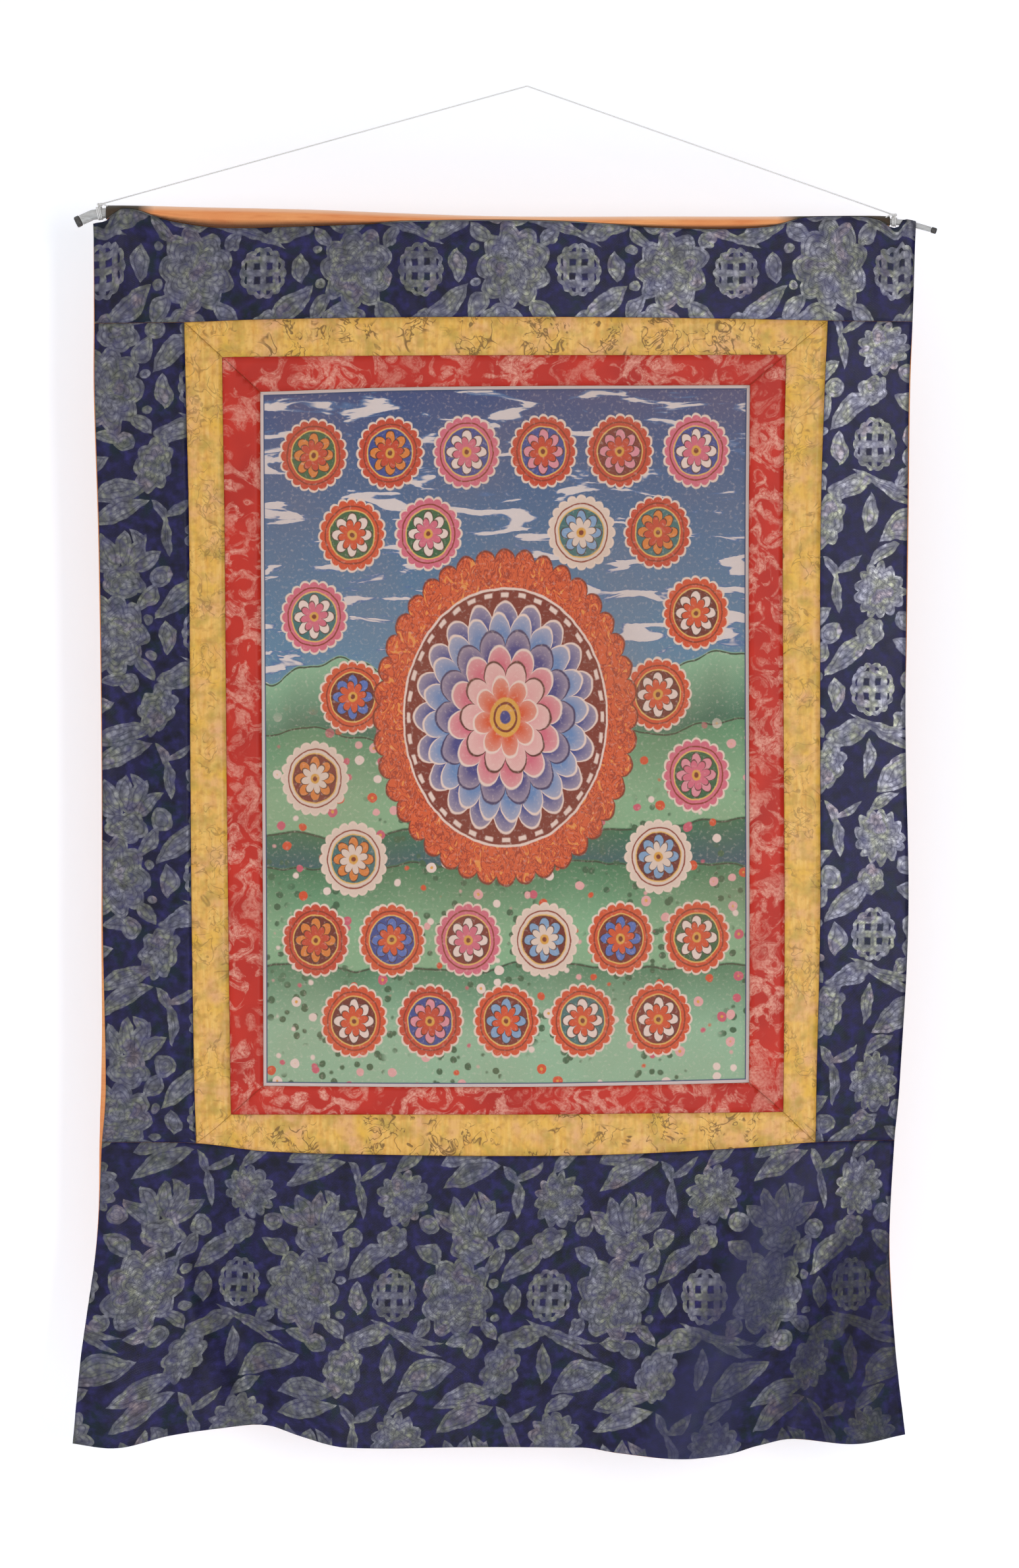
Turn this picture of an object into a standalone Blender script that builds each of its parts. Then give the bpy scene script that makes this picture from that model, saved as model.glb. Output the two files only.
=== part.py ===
"""Thangka scroll painting with its rod and hanging cord.

Metres, +Z up, +X to the right, and the front faces -Y. The origin is the top
of the nail that the cord goes over, so the rest of the part lies below it.
The tables and named sizes are in millimetres.

The cloth is cut flat and then hung, as a maker would do it. Each panel starts
as a flat rectangle in the pattern's own coordinates, across and down. It is
scored along lines that all panels share, and mitred where it is a border
strip. hang_point() then carries every point of it to where it hangs, folds
and all, and a Solidify gives the cloth its thickness. The lining is cut the
same way, hangs behind the front on the same folds, and goes up over the rod
as a sleeve that comes down in front as far as the brocade's top edge.
"""

from math import atan2, cos, exp, pi, sin

import bmesh
import bpy
from mathutils import Matrix, Vector

MM = 0.001

# The flat pattern, in millimetres
PAINTING_WIDTH = 460.0
PAINTING_HEIGHT = 655.0
RED_SIDE = 34.0
RED_TOP = 30.0
RED_FOOT = 28.0
YELLOW_SIDE = 35.0
YELLOW_TOP = 34.0
YELLOW_FOOT = 34.0
BROCADE_SIDE = 84.0
BROCADE_TOP = 89.0
BROCADE_FOOT = 278.0
PAINTING_LEFT = -250.0
SEAM_GAP = 0.3

# Thickness of the cloths, and the distance between the middles of the layers
BROCADE_THICK = 1.2
STRIP_THICK = 1.0
CANVAS_THICK = 1.0
LINING_THICK = 1.0
LAYER_PITCH = 1.5

# The sleeve over the rod: how far the cloth's middle stands off the rod, how
# fast front and back come together again below it, and between which places
# across it covers the rod. The brocade's edge dips where the sleeve ends.
SLEEVE_STAND_OFF = 1.6
SLEEVE_FADE = 16.0
SLEEVE_STEPS = 9
SLEEVE_FLAT = 40.0
SLEEVE_SEAM_GAP = 0.8
SLEEVE_LEFT = -391.0
NOTCH_LEFT = 338.0
NOTCH_DIP = 330.0
FOLD_FREE_DROP = 20.0
FOLD_FULL_DROP = 90.0

# The cord, its ties on the bare rod, and the nail that it hangs over
CORD_THICK = 1.4
NAIL_RADIUS = 2.0
TIE_THICK = 2.0
TIE_CLEARANCE = 0.5
TIE_LEFT_AT = -402.0
TIE_RIGHT_AT = 345.5
CORD_LEG_STEPS = 12
NAIL_STEPS = 4

# The dark tips on the rod's ends
TIP_LENGTH = 5.5
TIP_OVERSIZE = 0.4
TIP_BEVEL = 1.2

# The pattern's upright lines, from left to right
RED_LEFT = PAINTING_LEFT - RED_SIDE
YELLOW_LEFT = RED_LEFT - YELLOW_SIDE
EDGE_LEFT = YELLOW_LEFT - BROCADE_SIDE
PAINTING_RIGHT = PAINTING_LEFT + PAINTING_WIDTH
RED_RIGHT = PAINTING_RIGHT + RED_SIDE
YELLOW_RIGHT = RED_RIGHT + YELLOW_SIDE
EDGE_RIGHT = YELLOW_RIGHT + BROCADE_SIDE
UPRIGHTS = (
    EDGE_LEFT, YELLOW_LEFT, RED_LEFT, PAINTING_LEFT,
    PAINTING_RIGHT, RED_RIGHT, YELLOW_RIGHT, EDGE_RIGHT,
)

# The pattern's level lines, from the brocade's top edge down to the hem
YELLOW_UPPER = BROCADE_TOP
RED_UPPER = YELLOW_UPPER + YELLOW_TOP
PAINTING_UPPER = RED_UPPER + RED_TOP
PAINTING_LOWER = PAINTING_UPPER + PAINTING_HEIGHT
RED_LOWER = PAINTING_LOWER + RED_FOOT
YELLOW_LOWER = RED_LOWER + YELLOW_FOOT
HEM = YELLOW_LOWER + BROCADE_FOOT
LEVELS = (
    0.0, YELLOW_UPPER, RED_UPPER, PAINTING_UPPER,
    PAINTING_LOWER, RED_LOWER, YELLOW_LOWER, HEM,
)

# How many columns each stretch between uprights has, and rows between levels
COLUMN_COUNTS = (4, 1, 1, 15, 2, 2, 4)
ROW_COUNTS = (2, 1, 1, 11, 1, 1, 12)
ROWS_BELOW_ROD = (3.0, 6.5, 14.0, 26.0)

# Where the eight uprights hang, at each distance down the pattern
HUNG_UPRIGHTS = (
    # down, edge, yellow, red, painting, painting, red, yellow, edge
    (0.0, -408.0, -322.5, -287.0, -251.0, 210.0, 244.5, 283.5, 366.0),
    (90.0, -407.0, -322.5, -287.0, -251.0, 210.0, 244.5, 283.0, 363.0),
    (150.0, -407.0, -321.0, -286.5, -251.0, 210.0, 243.5, 280.5, 360.0),
    (285.0, -403.0, -318.0, -284.5, -250.5, 209.0, 241.0, 276.5, 358.0),
    (470.0, -400.5, -317.0, -283.0, -249.5, 209.0, 241.5, 276.0, 356.0),
    (655.0, -399.5, -315.5, -281.0, -248.5, 209.5, 242.5, 276.0, 359.0),
    (810.0, -396.5, -313.0, -279.0, -248.0, 209.0, 241.5, 272.5, 351.0),
    (870.0, -400.0, -311.5, -278.0, -247.5, 208.5, 240.5, 271.5, 346.0),
    (965.0, -405.0, -315.0, -281.0, -250.0, 204.0, 236.0, 267.0, 341.5),
    (1065.0, -419.0, -326.0, -290.0, -255.0, 202.0, 235.0, 268.0, 346.0),
    (1148.0, -427.0, -332.0, -295.0, -258.0, 205.0, 240.0, 275.0, 356.0),
)

# How far below the nail the six seams hang, at each place across
HUNG_SEAMS = (
    # across, yellow, red, painting, painting, red, yellow
    (-403.0, 222.5, 256.0, 288.0, 939.0, 967.0, 993.0),
    (-319.0, 221.5, 255.0, 287.5, 939.5, 967.0, 994.0),
    (-250.0, 219.0, 254.0, 287.0, 940.0, 967.0, 1001.5),
    (-130.0, 217.0, 253.0, 283.0, 941.0, 967.0, 1005.0),
    (0.0, 216.5, 252.5, 281.5, 941.0, 967.0, 1006.0),
    (100.0, 217.0, 252.5, 281.0, 939.5, 966.0, 1004.0),
    (210.0, 218.5, 252.0, 280.5, 937.0, 965.0, 998.0),
    (279.0, 220.0, 252.0, 281.0, 935.0, 964.0, 993.0),
    (363.0, 221.0, 252.5, 281.0, 934.0, 963.0, 991.0),
)

# How far below the nail the hem hangs
HUNG_HEM = (
    # across, drop
    (-403.0, 1276.0),
    (-364.0, 1280.0),
    (-321.0, 1269.0),
    (-270.0, 1262.0),
    (-234.0, 1262.0),
    (-208.0, 1269.0),
    (-161.0, 1280.0),
    (-55.0, 1281.0),
    (54.0, 1281.0),
    (87.0, 1285.0),
    (151.0, 1288.0),
    (195.0, 1286.0),
    (222.0, 1279.0),
    (253.0, 1274.0),
    (314.0, 1276.0),
    (363.0, 1268.0),
)

# The rod is a slim cane, not quite straight, thicker at its left end
ROD = (
    # across, drop below the nail, radius
    (-419.5, 125.3, 5.0),
    (-409.0, 120.5, 5.0),
    (-394.0, 118.3, 4.9),
    (-300.0, 120.0, 4.7),
    (-206.0, 121.8, 4.5),
    (-130.0, 124.6, 4.3),
    (-47.0, 127.3, 4.1),
    (20.0, 128.0, 4.0),
    (129.0, 127.6, 3.8),
    (217.0, 127.4, 3.5),
    (323.0, 126.2, 3.1),
    (346.0, 127.0, 3.0),
    (362.0, 129.0, 2.8),
    (380.0, 134.2, 2.5),
)
ROD_STEPS = 30

# How far the brocade's top edge hangs below the middle of the rod. Where it
# sags, the sleeve shows above it. A negative value lies on top of the rod.
BROCADE_SAG = (
    # across, sag
    (-403.0, 8.8),
    (-391.0, 8.0),
    (-378.0, -2.5),
    (-366.0, -2.5),
    (-345.0, 4.5),
    (-319.0, 9.5),
    (-284.0, 12.7),
    (-230.0, 11.0),
    (-150.0, 6.0),
    (-110.0, 2.2),
    (-35.0, -1.0),
    (35.0, -0.3),
    (115.0, 5.0),
    (185.0, 6.5),
    (235.0, 3.7),
    (262.0, -4.0),
    (312.0, -4.0),
    (328.0, 0.5),
    (338.0, 7.2),
    (348.0, 7.2),
    (356.0, 1.5),
    (363.0, -0.5),
)

# How far the lining stands out past the brocade at the left edge
LINING_PEEK = (
    # down, out
    (0.0, 0.0),
    (600.0, 0.5),
    (740.0, 2.5),
    (825.0, 4.5),
    (865.0, 2.5),
    (930.0, 0.5),
    (1148.0, 0.0),
)

# The folds. Each runs from its head to its foot, and depth is towards the
# viewer. A fold that ends at the hem keeps its depth there.
FOLDS = (
    # head across, head drop, foot across, foot drop, half width, depth, at hem
    (264.0, 990.0, 138.0, 1290.0, 38.0, 25.0, True),
    (206.0, 1000.0, 58.0, 1290.0, 17.0, -7.0, True),
    (345.0, 1040.0, 240.0, 1290.0, 24.0, -12.0, True),
    (362.0, 1090.0, 305.0, 1290.0, 24.0, 9.0, True),
    (-306.0, 1020.0, -244.0, 1290.0, 26.0, -17.0, True),
    (-375.0, 1040.0, -402.0, 1290.0, 34.0, 9.0, True),
    (-205.0, 1110.0, -180.0, 1290.0, 28.0, 7.0, True),
    (-70.0, 1080.0, -40.0, 1290.0, 55.0, -6.0, True),
    (325.0, 260.0, 335.0, 900.0, 40.0, 5.0, False),
    (-385.0, 300.0, -375.0, 900.0, 36.0, -5.0, False),
    (-110.0, 240.0, 90.0, 1020.0, 110.0, 5.0, False),
    (215.0, 180.0, 150.0, 640.0, 80.0, -4.0, False),
)
FOLD_HEAD_SHARE = 0.45


def read_table(table, at, column):
    """The value in a column at a place in the first one, on a smooth curve."""
    if at <= table[0][0]:
        return table[0][column]
    if at >= table[-1][0]:
        return table[-1][column]
    row = max(i for i in range(len(table) - 1) if table[i][0] <= at)
    before = table[max(row - 1, 0)]
    start = table[row]
    end = table[row + 1]
    after = table[min(row + 2, len(table) - 1)]
    span = end[0] - start[0]
    slope_in = (end[column] - before[column]) / (end[0] - before[0])
    slope_out = (after[column] - start[column]) / (after[0] - start[0])
    t = (at - start[0]) / span
    return (
        start[column] * (1 + 2 * t) * (1 - t) ** 2
        + slope_in * span * t * (1 - t) ** 2
        + end[column] * t * t * (3 - 2 * t)
        - slope_out * span * t * t * (1 - t)
    )


def ease(value):
    """A soft step from 0 to 1."""
    value = min(max(value, 0.0), 1.0)
    return value * value * (3.0 - 2.0 * value)


def between(lines, values, at):
    """The value at a place, in straight runs between the lines' values."""
    i = max([k for k in range(len(lines) - 1) if lines[k] <= at] or [0])
    share = (at - lines[i]) / (lines[i + 1] - lines[i])
    return values[i] + share * (values[i + 1] - values[i])


def rod_drop(across):
    return read_table(ROD, across, 1)


def rod_radius(across):
    return read_table(ROD, across, 2)


def fold_depth(x, drop):
    """How far the folds bring the cloth towards the viewer."""
    depth = 0.0
    for head_x, head_drop, foot_x, foot_drop, width, height, at_hem in FOLDS:
        share = (drop - head_drop) / (foot_drop - head_drop)
        if share <= 0.0:
            continue
        fade = ease(share / FOLD_HEAD_SHARE)
        if not at_hem:
            fade *= ease((1.0 - share) / FOLD_HEAD_SHARE)
        middle = head_x + share * (foot_x - head_x)
        lean = cos(atan2(foot_x - head_x, foot_drop - head_drop))
        away = (x - middle) * lean / width
        depth += height * fade * exp(-away * away)
    below_rod = drop - rod_drop(x)
    ease_in = (below_rod - FOLD_FREE_DROP) / (FOLD_FULL_DROP - FOLD_FREE_DROP)
    return depth * ease(ease_in)


def hung_x(across, down):
    places = [read_table(HUNG_UPRIGHTS, down, i + 1) for i in range(8)]
    return between(UPRIGHTS, places, across)


def hung_drop(across, down):
    top = rod_drop(hung_x(across, 0.0)) + read_table(BROCADE_SAG, across, 1)
    seams = [read_table(HUNG_SEAMS, across, i + 1) for i in range(6)]
    drops = [top] + seams + [read_table(HUNG_HEM, across, 1)]
    return between(LEVELS, drops, down)


def middle_point(across, down):
    """The cloth's own surface, halfway between front and lining."""
    x = hung_x(across, down)
    drop = hung_drop(across, down)
    return Vector((x, -fold_depth(x, drop), -drop))


def around_rod(across, wrap):
    """A point of the sleeve, at a distance along it.

    Below 0 it hangs behind the rod, up to half a turn it lies on the rod, and
    past that it hangs in front.
    """
    x = hung_x(across, 0.0)
    radius = rod_radius(x) + SLEEVE_STAND_OFF
    half_turn = pi * radius
    if 0.0 <= wrap <= half_turn:
        angle = wrap / radius
        return Vector((x, radius * cos(angle), radius * sin(angle) - rod_drop(x)))
    below = -wrap if wrap < 0.0 else wrap - half_turn
    side = 1.0 if wrap < 0.0 else -1.0
    return Vector((x, side * layer_offset(x, below), -rod_drop(x) - below))


def layer_offset(x, below_rod):
    """From the middle surface out to the middle of the front or the lining."""
    near = 0.5 * LAYER_PITCH
    swell = rod_radius(x) + SLEEVE_STAND_OFF - near
    return near + swell * exp(-((below_rod / SLEEVE_FADE) ** 2))


def hang_point(across, down, layer):
    """Where a point of the flat pattern hangs; layer is 1 in front, -1 behind."""
    here = middle_point(across, down)
    below = -here.z - rod_drop(here.x)
    if below <= 0.0:
        half_turn = pi * (rod_radius(here.x) + SLEEVE_STAND_OFF)
        wrap = half_turn + below if layer > 0 else -below
        return around_rod(across, wrap)
    step = 1.0
    right = middle_point(across + step, down) - middle_point(across - step, down)
    fall = middle_point(across, down + step) - middle_point(across, down - step)
    normal = fall.cross(right).normalized()
    return here + normal * layer * layer_offset(here.x, below)


def hang_sleeve(across, share):
    """The lining over the rod, from the back (0) to the brocade's edge (1)."""
    x = hung_x(across, 0.0)
    sag = read_table(BROCADE_SAG, across, 1)
    half_turn = pi * (rod_radius(x) + SLEEVE_STAND_OFF)
    start = -sag
    end = half_turn + sag - SLEEVE_SEAM_GAP
    on_rod = max(0.0, start + SLEEVE_SEAM_GAP)
    off_rod = min(half_turn, end - SLEEVE_SEAM_GAP)
    step = 1.0 / SLEEVE_STEPS
    wrap = between((0.0, step, 1.0 - step, 1.0), (start, on_rod, off_rod, end), share)
    return around_rod(across, wrap)


def hang_lining(across, down):
    if down < 0.0:
        return hang_sleeve(across, -down / SLEEVE_FLAT)
    here = hang_point(across, down, -1)
    peek = read_table(LINING_PEEK, down, 1)
    edge_share = ease((UPRIGHTS[1] - across) / BROCADE_SIDE)
    here.x -= peek * edge_share
    return here


def stations(lines, counts):
    """The lines, and the places between them where the cloth is scored."""
    places = [lines[0]]
    for start, end, count in zip(lines, lines[1:], counts):
        places += [start + (end - start) * (i + 1) / count for i in range(count)]
    return places


ACROSS_SCORES = stations(UPRIGHTS, COLUMN_COUNTS)
ACROSS_SCORES += [SLEEVE_LEFT, NOTCH_DIP, NOTCH_LEFT]
DOWN_SCORES = stations(LEVELS, ROW_COUNTS) + list(ROWS_BELOW_ROD)


def new_material(name, color, roughness, metallic=0.0):
    material = bpy.data.materials.new(name)
    material.use_nodes = True
    shader = material.node_tree.nodes["Principled BSDF"]
    shader.inputs["Base Color"].default_value = (*color, 1.0)
    shader.inputs["Roughness"].default_value = roughness
    shader.inputs["Metallic"].default_value = metallic
    material.diffuse_color = (*color, 1.0)
    return material


def new_object(name, data, material, collection):
    piece = bpy.data.objects.new(name, data)
    data.materials.append(material)
    collection.objects.link(piece)
    return piece


def score(cloth, places, axis):
    """Cut the flat cloth's faces along lines, without parting it."""
    for place in places:
        point = axis * place
        whole = cloth.verts[:] + cloth.edges[:] + cloth.faces[:]
        bmesh.ops.bisect_plane(cloth, geom=whole, plane_co=point, plane_no=axis)


def trim(cloth, point, outward):
    """Cut the flat cloth along a line and drop what lies outward of it."""
    whole = cloth.verts[:] + cloth.edges[:] + cloth.faces[:]
    bmesh.ops.bisect_plane(
        cloth, geom=whole, plane_co=point, plane_no=outward, clear_outer=True
    )


def split_quads(cloth):
    """Split each cell from its lower left to its upper right corner."""
    for face in cloth.faces[:]:
        if len(face.verts) != 4:
            continue
        corners = sorted(face.verts, key=lambda v: v.co.x - v.co.y)
        bmesh.utils.face_split(face, corners[0], corners[-1])


def flat_cloth(left, right, top, foot, across_scores, down_scores):
    """A flat panel, x across and y down, scored along the shared lines."""
    cloth = bmesh.new()
    corners = ((left, foot), (right, foot), (right, top), (left, top))
    cloth.faces.new([cloth.verts.new((x, y, 0.0)) for x, y in corners])
    inner_across = [x for x in across_scores if left + 1.0 < x < right - 1.0]
    inner_down = [y for y in down_scores if top + 1.0 < y < foot - 1.0]
    score(cloth, inner_across, Vector((1.0, 0.0, 0.0)))
    score(cloth, inner_down, Vector((0.0, 1.0, 0.0)))
    split_quads(cloth)
    return cloth


def cloth_object(name, cloth, hang, thickness, material, collection):
    """Hang a flat cloth and give it its thickness."""
    bmesh.ops.triangulate(cloth, faces=cloth.faces[:])
    for vert in cloth.verts:
        vert.co = hang(vert.co.x, vert.co.y) * MM
    bmesh.ops.recalc_face_normals(cloth, faces=cloth.faces[:])
    mesh = bpy.data.meshes.new(name)
    cloth.to_mesh(mesh)
    cloth.free()
    mesh.shade_smooth()
    piece = new_object(name, mesh, material, collection)
    solid = piece.modifiers.new("thickness", "SOLIDIFY")
    solid.thickness = thickness * MM
    solid.offset = 0.0
    return piece


def hang_front(across, down):
    return hang_point(across, down, 1)


def make_panel(name, left, right, top, foot, thickness, material, collection):
    """A rectangular front panel, half a seam gap inside its own lines."""
    gap = 0.5 * SEAM_GAP
    cloth = flat_cloth(
        left + gap, right - gap, top + gap, foot - gap, ACROSS_SCORES, DOWN_SCORES
    )
    cloth_object(name, cloth, hang_front, thickness, material, collection)


def mitre_cut(cloth, outer, inner, keep):
    """Trim a strip along the line from its frame's outer to its inner corner."""
    start = Vector((outer[0], outer[1], 0.0))
    along = Vector((inner[0] - outer[0], inner[1] - outer[1], 0.0)).normalized()
    outward = along.cross(Vector((0.0, 0.0, 1.0)))
    if (Vector((keep[0], keep[1], 0.0)) - start).dot(outward) > 0.0:
        outward = -outward
    trim(cloth, start - outward * 0.5 * SEAM_GAP, outward)


def make_border(prefix, outer, inner, material, collection):
    """Four mitred strips between an outer and an inner rectangle."""
    left, right, top, foot = outer
    in_left, in_right, in_top, in_foot = inner
    middle = ((left + right) / 2, (top + foot) / 2)
    gap = 0.5 * SEAM_GAP
    strips = {
        "top": (left, right, top, in_top, (middle[0], top)),
        "foot": (left, right, in_foot, foot, (middle[0], foot)),
        "left": (left, in_left, top, foot, (left, middle[1])),
        "right": (in_right, right, top, foot, (right, middle[1])),
    }
    corners = {
        "top": (((left, top), (in_left, in_top)), ((right, top), (in_right, in_top))),
        "foot": (((left, foot), (in_left, in_foot)), ((right, foot), (in_right, in_foot))),
        "left": (((left, top), (in_left, in_top)), ((left, foot), (in_left, in_foot))),
        "right": (((right, top), (in_right, in_top)), ((right, foot), (in_right, in_foot))),
    }
    for side, (x0, x1, y0, y1, keep) in strips.items():
        cloth = flat_cloth(
            x0 + gap, x1 - gap, y0 + gap, y1 - gap, ACROSS_SCORES, DOWN_SCORES
        )
        for outer_corner, inner_corner in corners[side]:
            mitre_cut(cloth, outer_corner, inner_corner, keep)
        cloth_object(
            f"{prefix}_{side}", cloth, hang_front, STRIP_THICK, material, collection
        )


def make_lining(material, collection):
    """The lining behind everything, with the sleeve that goes over the rod."""
    sleeve_scores = [-SLEEVE_FLAT * i / SLEEVE_STEPS for i in range(SLEEVE_STEPS)]
    cloth = flat_cloth(
        EDGE_LEFT, EDGE_RIGHT, -SLEEVE_FLAT, HEM, ACROSS_SCORES,
        DOWN_SCORES + sleeve_scores,
    )
    bare = [
        face for face in cloth.faces
        if face.calc_center_median().y < 0.0
        and not SLEEVE_LEFT < face.calc_center_median().x < NOTCH_LEFT
    ]
    bmesh.ops.delete(cloth, geom=bare, context="FACES")
    cloth_object("lining", cloth, hang_lining, LINING_THICK, material, collection)


def tube(name, points, thickness, radii, resolution, material, collection):
    """A round bar or cord along its points, with closed ends."""
    curve = bpy.data.curves.new(name, "CURVE")
    curve.dimensions = "3D"
    curve.bevel_depth = 0.5 * thickness * MM
    curve.bevel_resolution = resolution
    curve.use_fill_caps = True
    spline = curve.splines.new("POLY")
    spline.points.add(len(points) - 1)
    for point, place, radius in zip(spline.points, points, radii):
        point.co = (*(Vector(place) * MM), 1.0)
        point.radius = radius
    spline.use_smooth = True
    return new_object(name, curve, material, collection)


def rod_point(across):
    return Vector((across, 0.0, -rod_drop(across)))


def make_rod(material, collection):
    start, end = ROD[0][0], ROD[-1][0]
    places = [start + (end - start) * i / ROD_STEPS for i in range(ROD_STEPS + 1)]
    places = sorted(places + [ROD[1][0], ROD[2][0], ROD[-3][0], ROD[-2][0]])
    points = [rod_point(x) for x in places]
    thickest = 2.0 * ROD[0][2]
    radii = [rod_radius(x) / ROD[0][2] for x in places]
    tube("rod", points, thickest, radii, 3, material, collection)


def make_tip(name, end, inner, radius, material, collection):
    """A dark round tip in line with the rod, a hair off its end."""
    outward = (rod_point(end) - rod_point(inner)).normalized()
    tip = bmesh.new()
    bmesh.ops.create_cone(
        tip, cap_ends=True, segments=16, radius1=(radius + TIP_OVERSIZE) * MM,
        radius2=(radius + TIP_OVERSIZE) * MM, depth=TIP_LENGTH * MM,
    )
    rims = [
        edge for edge in tip.edges
        if abs(edge.verts[0].co.z - edge.verts[1].co.z) < 0.01 * MM
    ]
    bmesh.ops.bevel(
        tip, geom=rims, offset=TIP_BEVEL * MM, segments=2, profile=0.5,
        affect="EDGES", material=-1,
    )
    mesh = bpy.data.meshes.new(name)
    tip.to_mesh(mesh)
    tip.free()
    mesh.shade_smooth()
    piece = new_object(name, mesh, material, collection)
    place = rod_point(end) + outward * (0.5 * TIP_LENGTH + SEAM_GAP)
    turn = Vector((0.0, 0.0, 1.0)).rotation_difference(outward)
    piece.matrix_world = Matrix.Translation(place * MM) @ turn.to_matrix().to_4x4()


def tie_radius(across):
    """From the rod's middle to the middle of the cord that is tied on it."""
    return rod_radius(across) + TIE_CLEARANCE + 0.5 * TIE_THICK


def make_tie(name, across, material, collection):
    """The cord's turns round the bare rod, as one plain ring."""
    bpy.ops.mesh.primitive_torus_add(
        major_segments=18, minor_segments=8, major_radius=tie_radius(across) * MM,
        minor_radius=0.5 * TIE_THICK * MM,
    )
    ring = bpy.context.object
    ring.name = name
    ring.data.name = name
    ring.data.shade_smooth()
    ring.data.materials.append(material)
    for old in ring.users_collection:
        old.objects.unlink(ring)
    collection.objects.link(ring)
    along = (rod_point(across + 1.0) - rod_point(across - 1.0)).normalized()
    turn = Vector((0.0, 0.0, 1.0)).rotation_difference(along)
    ring.matrix_world = (
        Matrix.Translation(rod_point(across) * MM) @ turn.to_matrix().to_4x4()
    )


def cord_end(across):
    """Where the cord leaves its tie, just above the ring."""
    lift = tie_radius(across) + 0.5 * (TIE_THICK + CORD_THICK) + SEAM_GAP
    return rod_point(across) + Vector((0.0, 0.0, lift))


def cord_route():
    """Two straight legs, and the short bend over the nail between them."""
    bend = NAIL_RADIUS + 0.5 * CORD_THICK
    nail = Vector((0.0, 0.0, -NAIL_RADIUS))
    left, right = cord_end(TIE_LEFT_AT), cord_end(TIE_RIGHT_AT)
    left_slope = atan2(nail.z + bend - left.z, nail.x - left.x)
    right_slope = atan2(nail.z + bend - right.z, right.x - nail.x)
    over = []
    for i in range(NAIL_STEPS + 1):
        angle = left_slope - (left_slope + right_slope) * i / NAIL_STEPS
        over.append(nail + bend * Vector((-sin(angle), 0.0, cos(angle))))
    up = [left.lerp(over[0], i / CORD_LEG_STEPS) for i in range(CORD_LEG_STEPS)]
    down = [right.lerp(over[-1], i / CORD_LEG_STEPS) for i in range(CORD_LEG_STEPS)]
    return up + over + down[::-1]


def make_cord(material, collection):
    route = cord_route()
    length = sum((b - a).length for a, b in zip(route, route[1:]))
    tube("hanging_cord", route, CORD_THICK, [1.0] * len(route), 2, material, collection)
    make_tie("cord_tie_left", TIE_LEFT_AT, material, collection)
    make_tie("cord_tie_right", TIE_RIGHT_AT, material, collection)
    print(f"cord length {length:.0f} mm")


def hung_length(down_from, down_to, across):
    """The cloth's length down one upright, measured along its folds."""
    steps = 200
    places = [down_from + (down_to - down_from) * i / steps for i in range(steps + 1)]
    points = [hang_front(across, down) for down in places]
    return sum((b - a).length for a, b in zip(points, points[1:]))


def hung_width(down):
    """The cloth's width along its folds, at one height."""
    steps = 400
    span = EDGE_RIGHT - EDGE_LEFT
    points = [hang_front(EDGE_LEFT + span * i / steps, down) for i in range(steps + 1)]
    return sum((b - a).length for a, b in zip(points, points[1:]))


def main():
    for old in list(bpy.data.objects):
        bpy.data.objects.remove(old)
    scroll = bpy.data.collections.new("thangka_scroll_painting")
    bpy.context.scene.collection.children.link(scroll)

    navy = new_material("navy_brocade", (0.018, 0.017, 0.060), 0.55)
    yellow = new_material("yellow_silk", (0.72, 0.42, 0.09), 0.55)
    red = new_material("red_silk", (0.60, 0.045, 0.035), 0.55)
    canvas = new_material("painted_canvas", (0.16, 0.25, 0.32), 0.70)
    orange = new_material("orange_lining", (0.72, 0.20, 0.07), 0.70)
    cane = new_material("grey_rod", (0.45, 0.44, 0.43), 0.45)
    dark = new_material("dark_rod_tip", (0.03, 0.028, 0.028), 0.40)
    cotton = new_material("pale_cord", (0.62, 0.61, 0.58), 0.85)

    brocade = (BROCADE_THICK, navy, scroll)
    make_panel("brocade_top", EDGE_LEFT, EDGE_RIGHT, 0.0, YELLOW_UPPER, *brocade)
    make_panel("brocade_left", EDGE_LEFT, YELLOW_LEFT, YELLOW_UPPER, YELLOW_LOWER, *brocade)
    make_panel("brocade_right", YELLOW_RIGHT, EDGE_RIGHT, YELLOW_UPPER, YELLOW_LOWER, *brocade)
    make_panel("brocade_foot", EDGE_LEFT, EDGE_RIGHT, YELLOW_LOWER, HEM, *brocade)
    yellow_frame = (YELLOW_LEFT, YELLOW_RIGHT, YELLOW_UPPER, YELLOW_LOWER)
    red_frame = (RED_LEFT, RED_RIGHT, RED_UPPER, RED_LOWER)
    painting = (PAINTING_LEFT, PAINTING_RIGHT, PAINTING_UPPER, PAINTING_LOWER)
    make_border("yellow", yellow_frame, red_frame, yellow, scroll)
    make_border("red", red_frame, painting, red, scroll)
    make_panel("painting", *painting, CANVAS_THICK, canvas, scroll)
    make_lining(orange, scroll)

    make_rod(cane, scroll)
    make_tip("rod_tip_left", ROD[0][0], ROD[0][0] + 2.0, ROD[0][2], dark, scroll)
    make_tip("rod_tip_right", ROD[-1][0], ROD[-1][0] - 2.0, ROD[-1][2], dark, scroll)
    make_cord(cotton, scroll)

    print(f"cloth width at mid height {hung_width(470.0):.0f} mm")
    print(f"cloth width above the hem {hung_width(1065.0):.0f} mm")
    print(f"cloth length at its middle {hung_length(0.0, HEM, 0.0):.0f} mm")


main()
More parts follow.
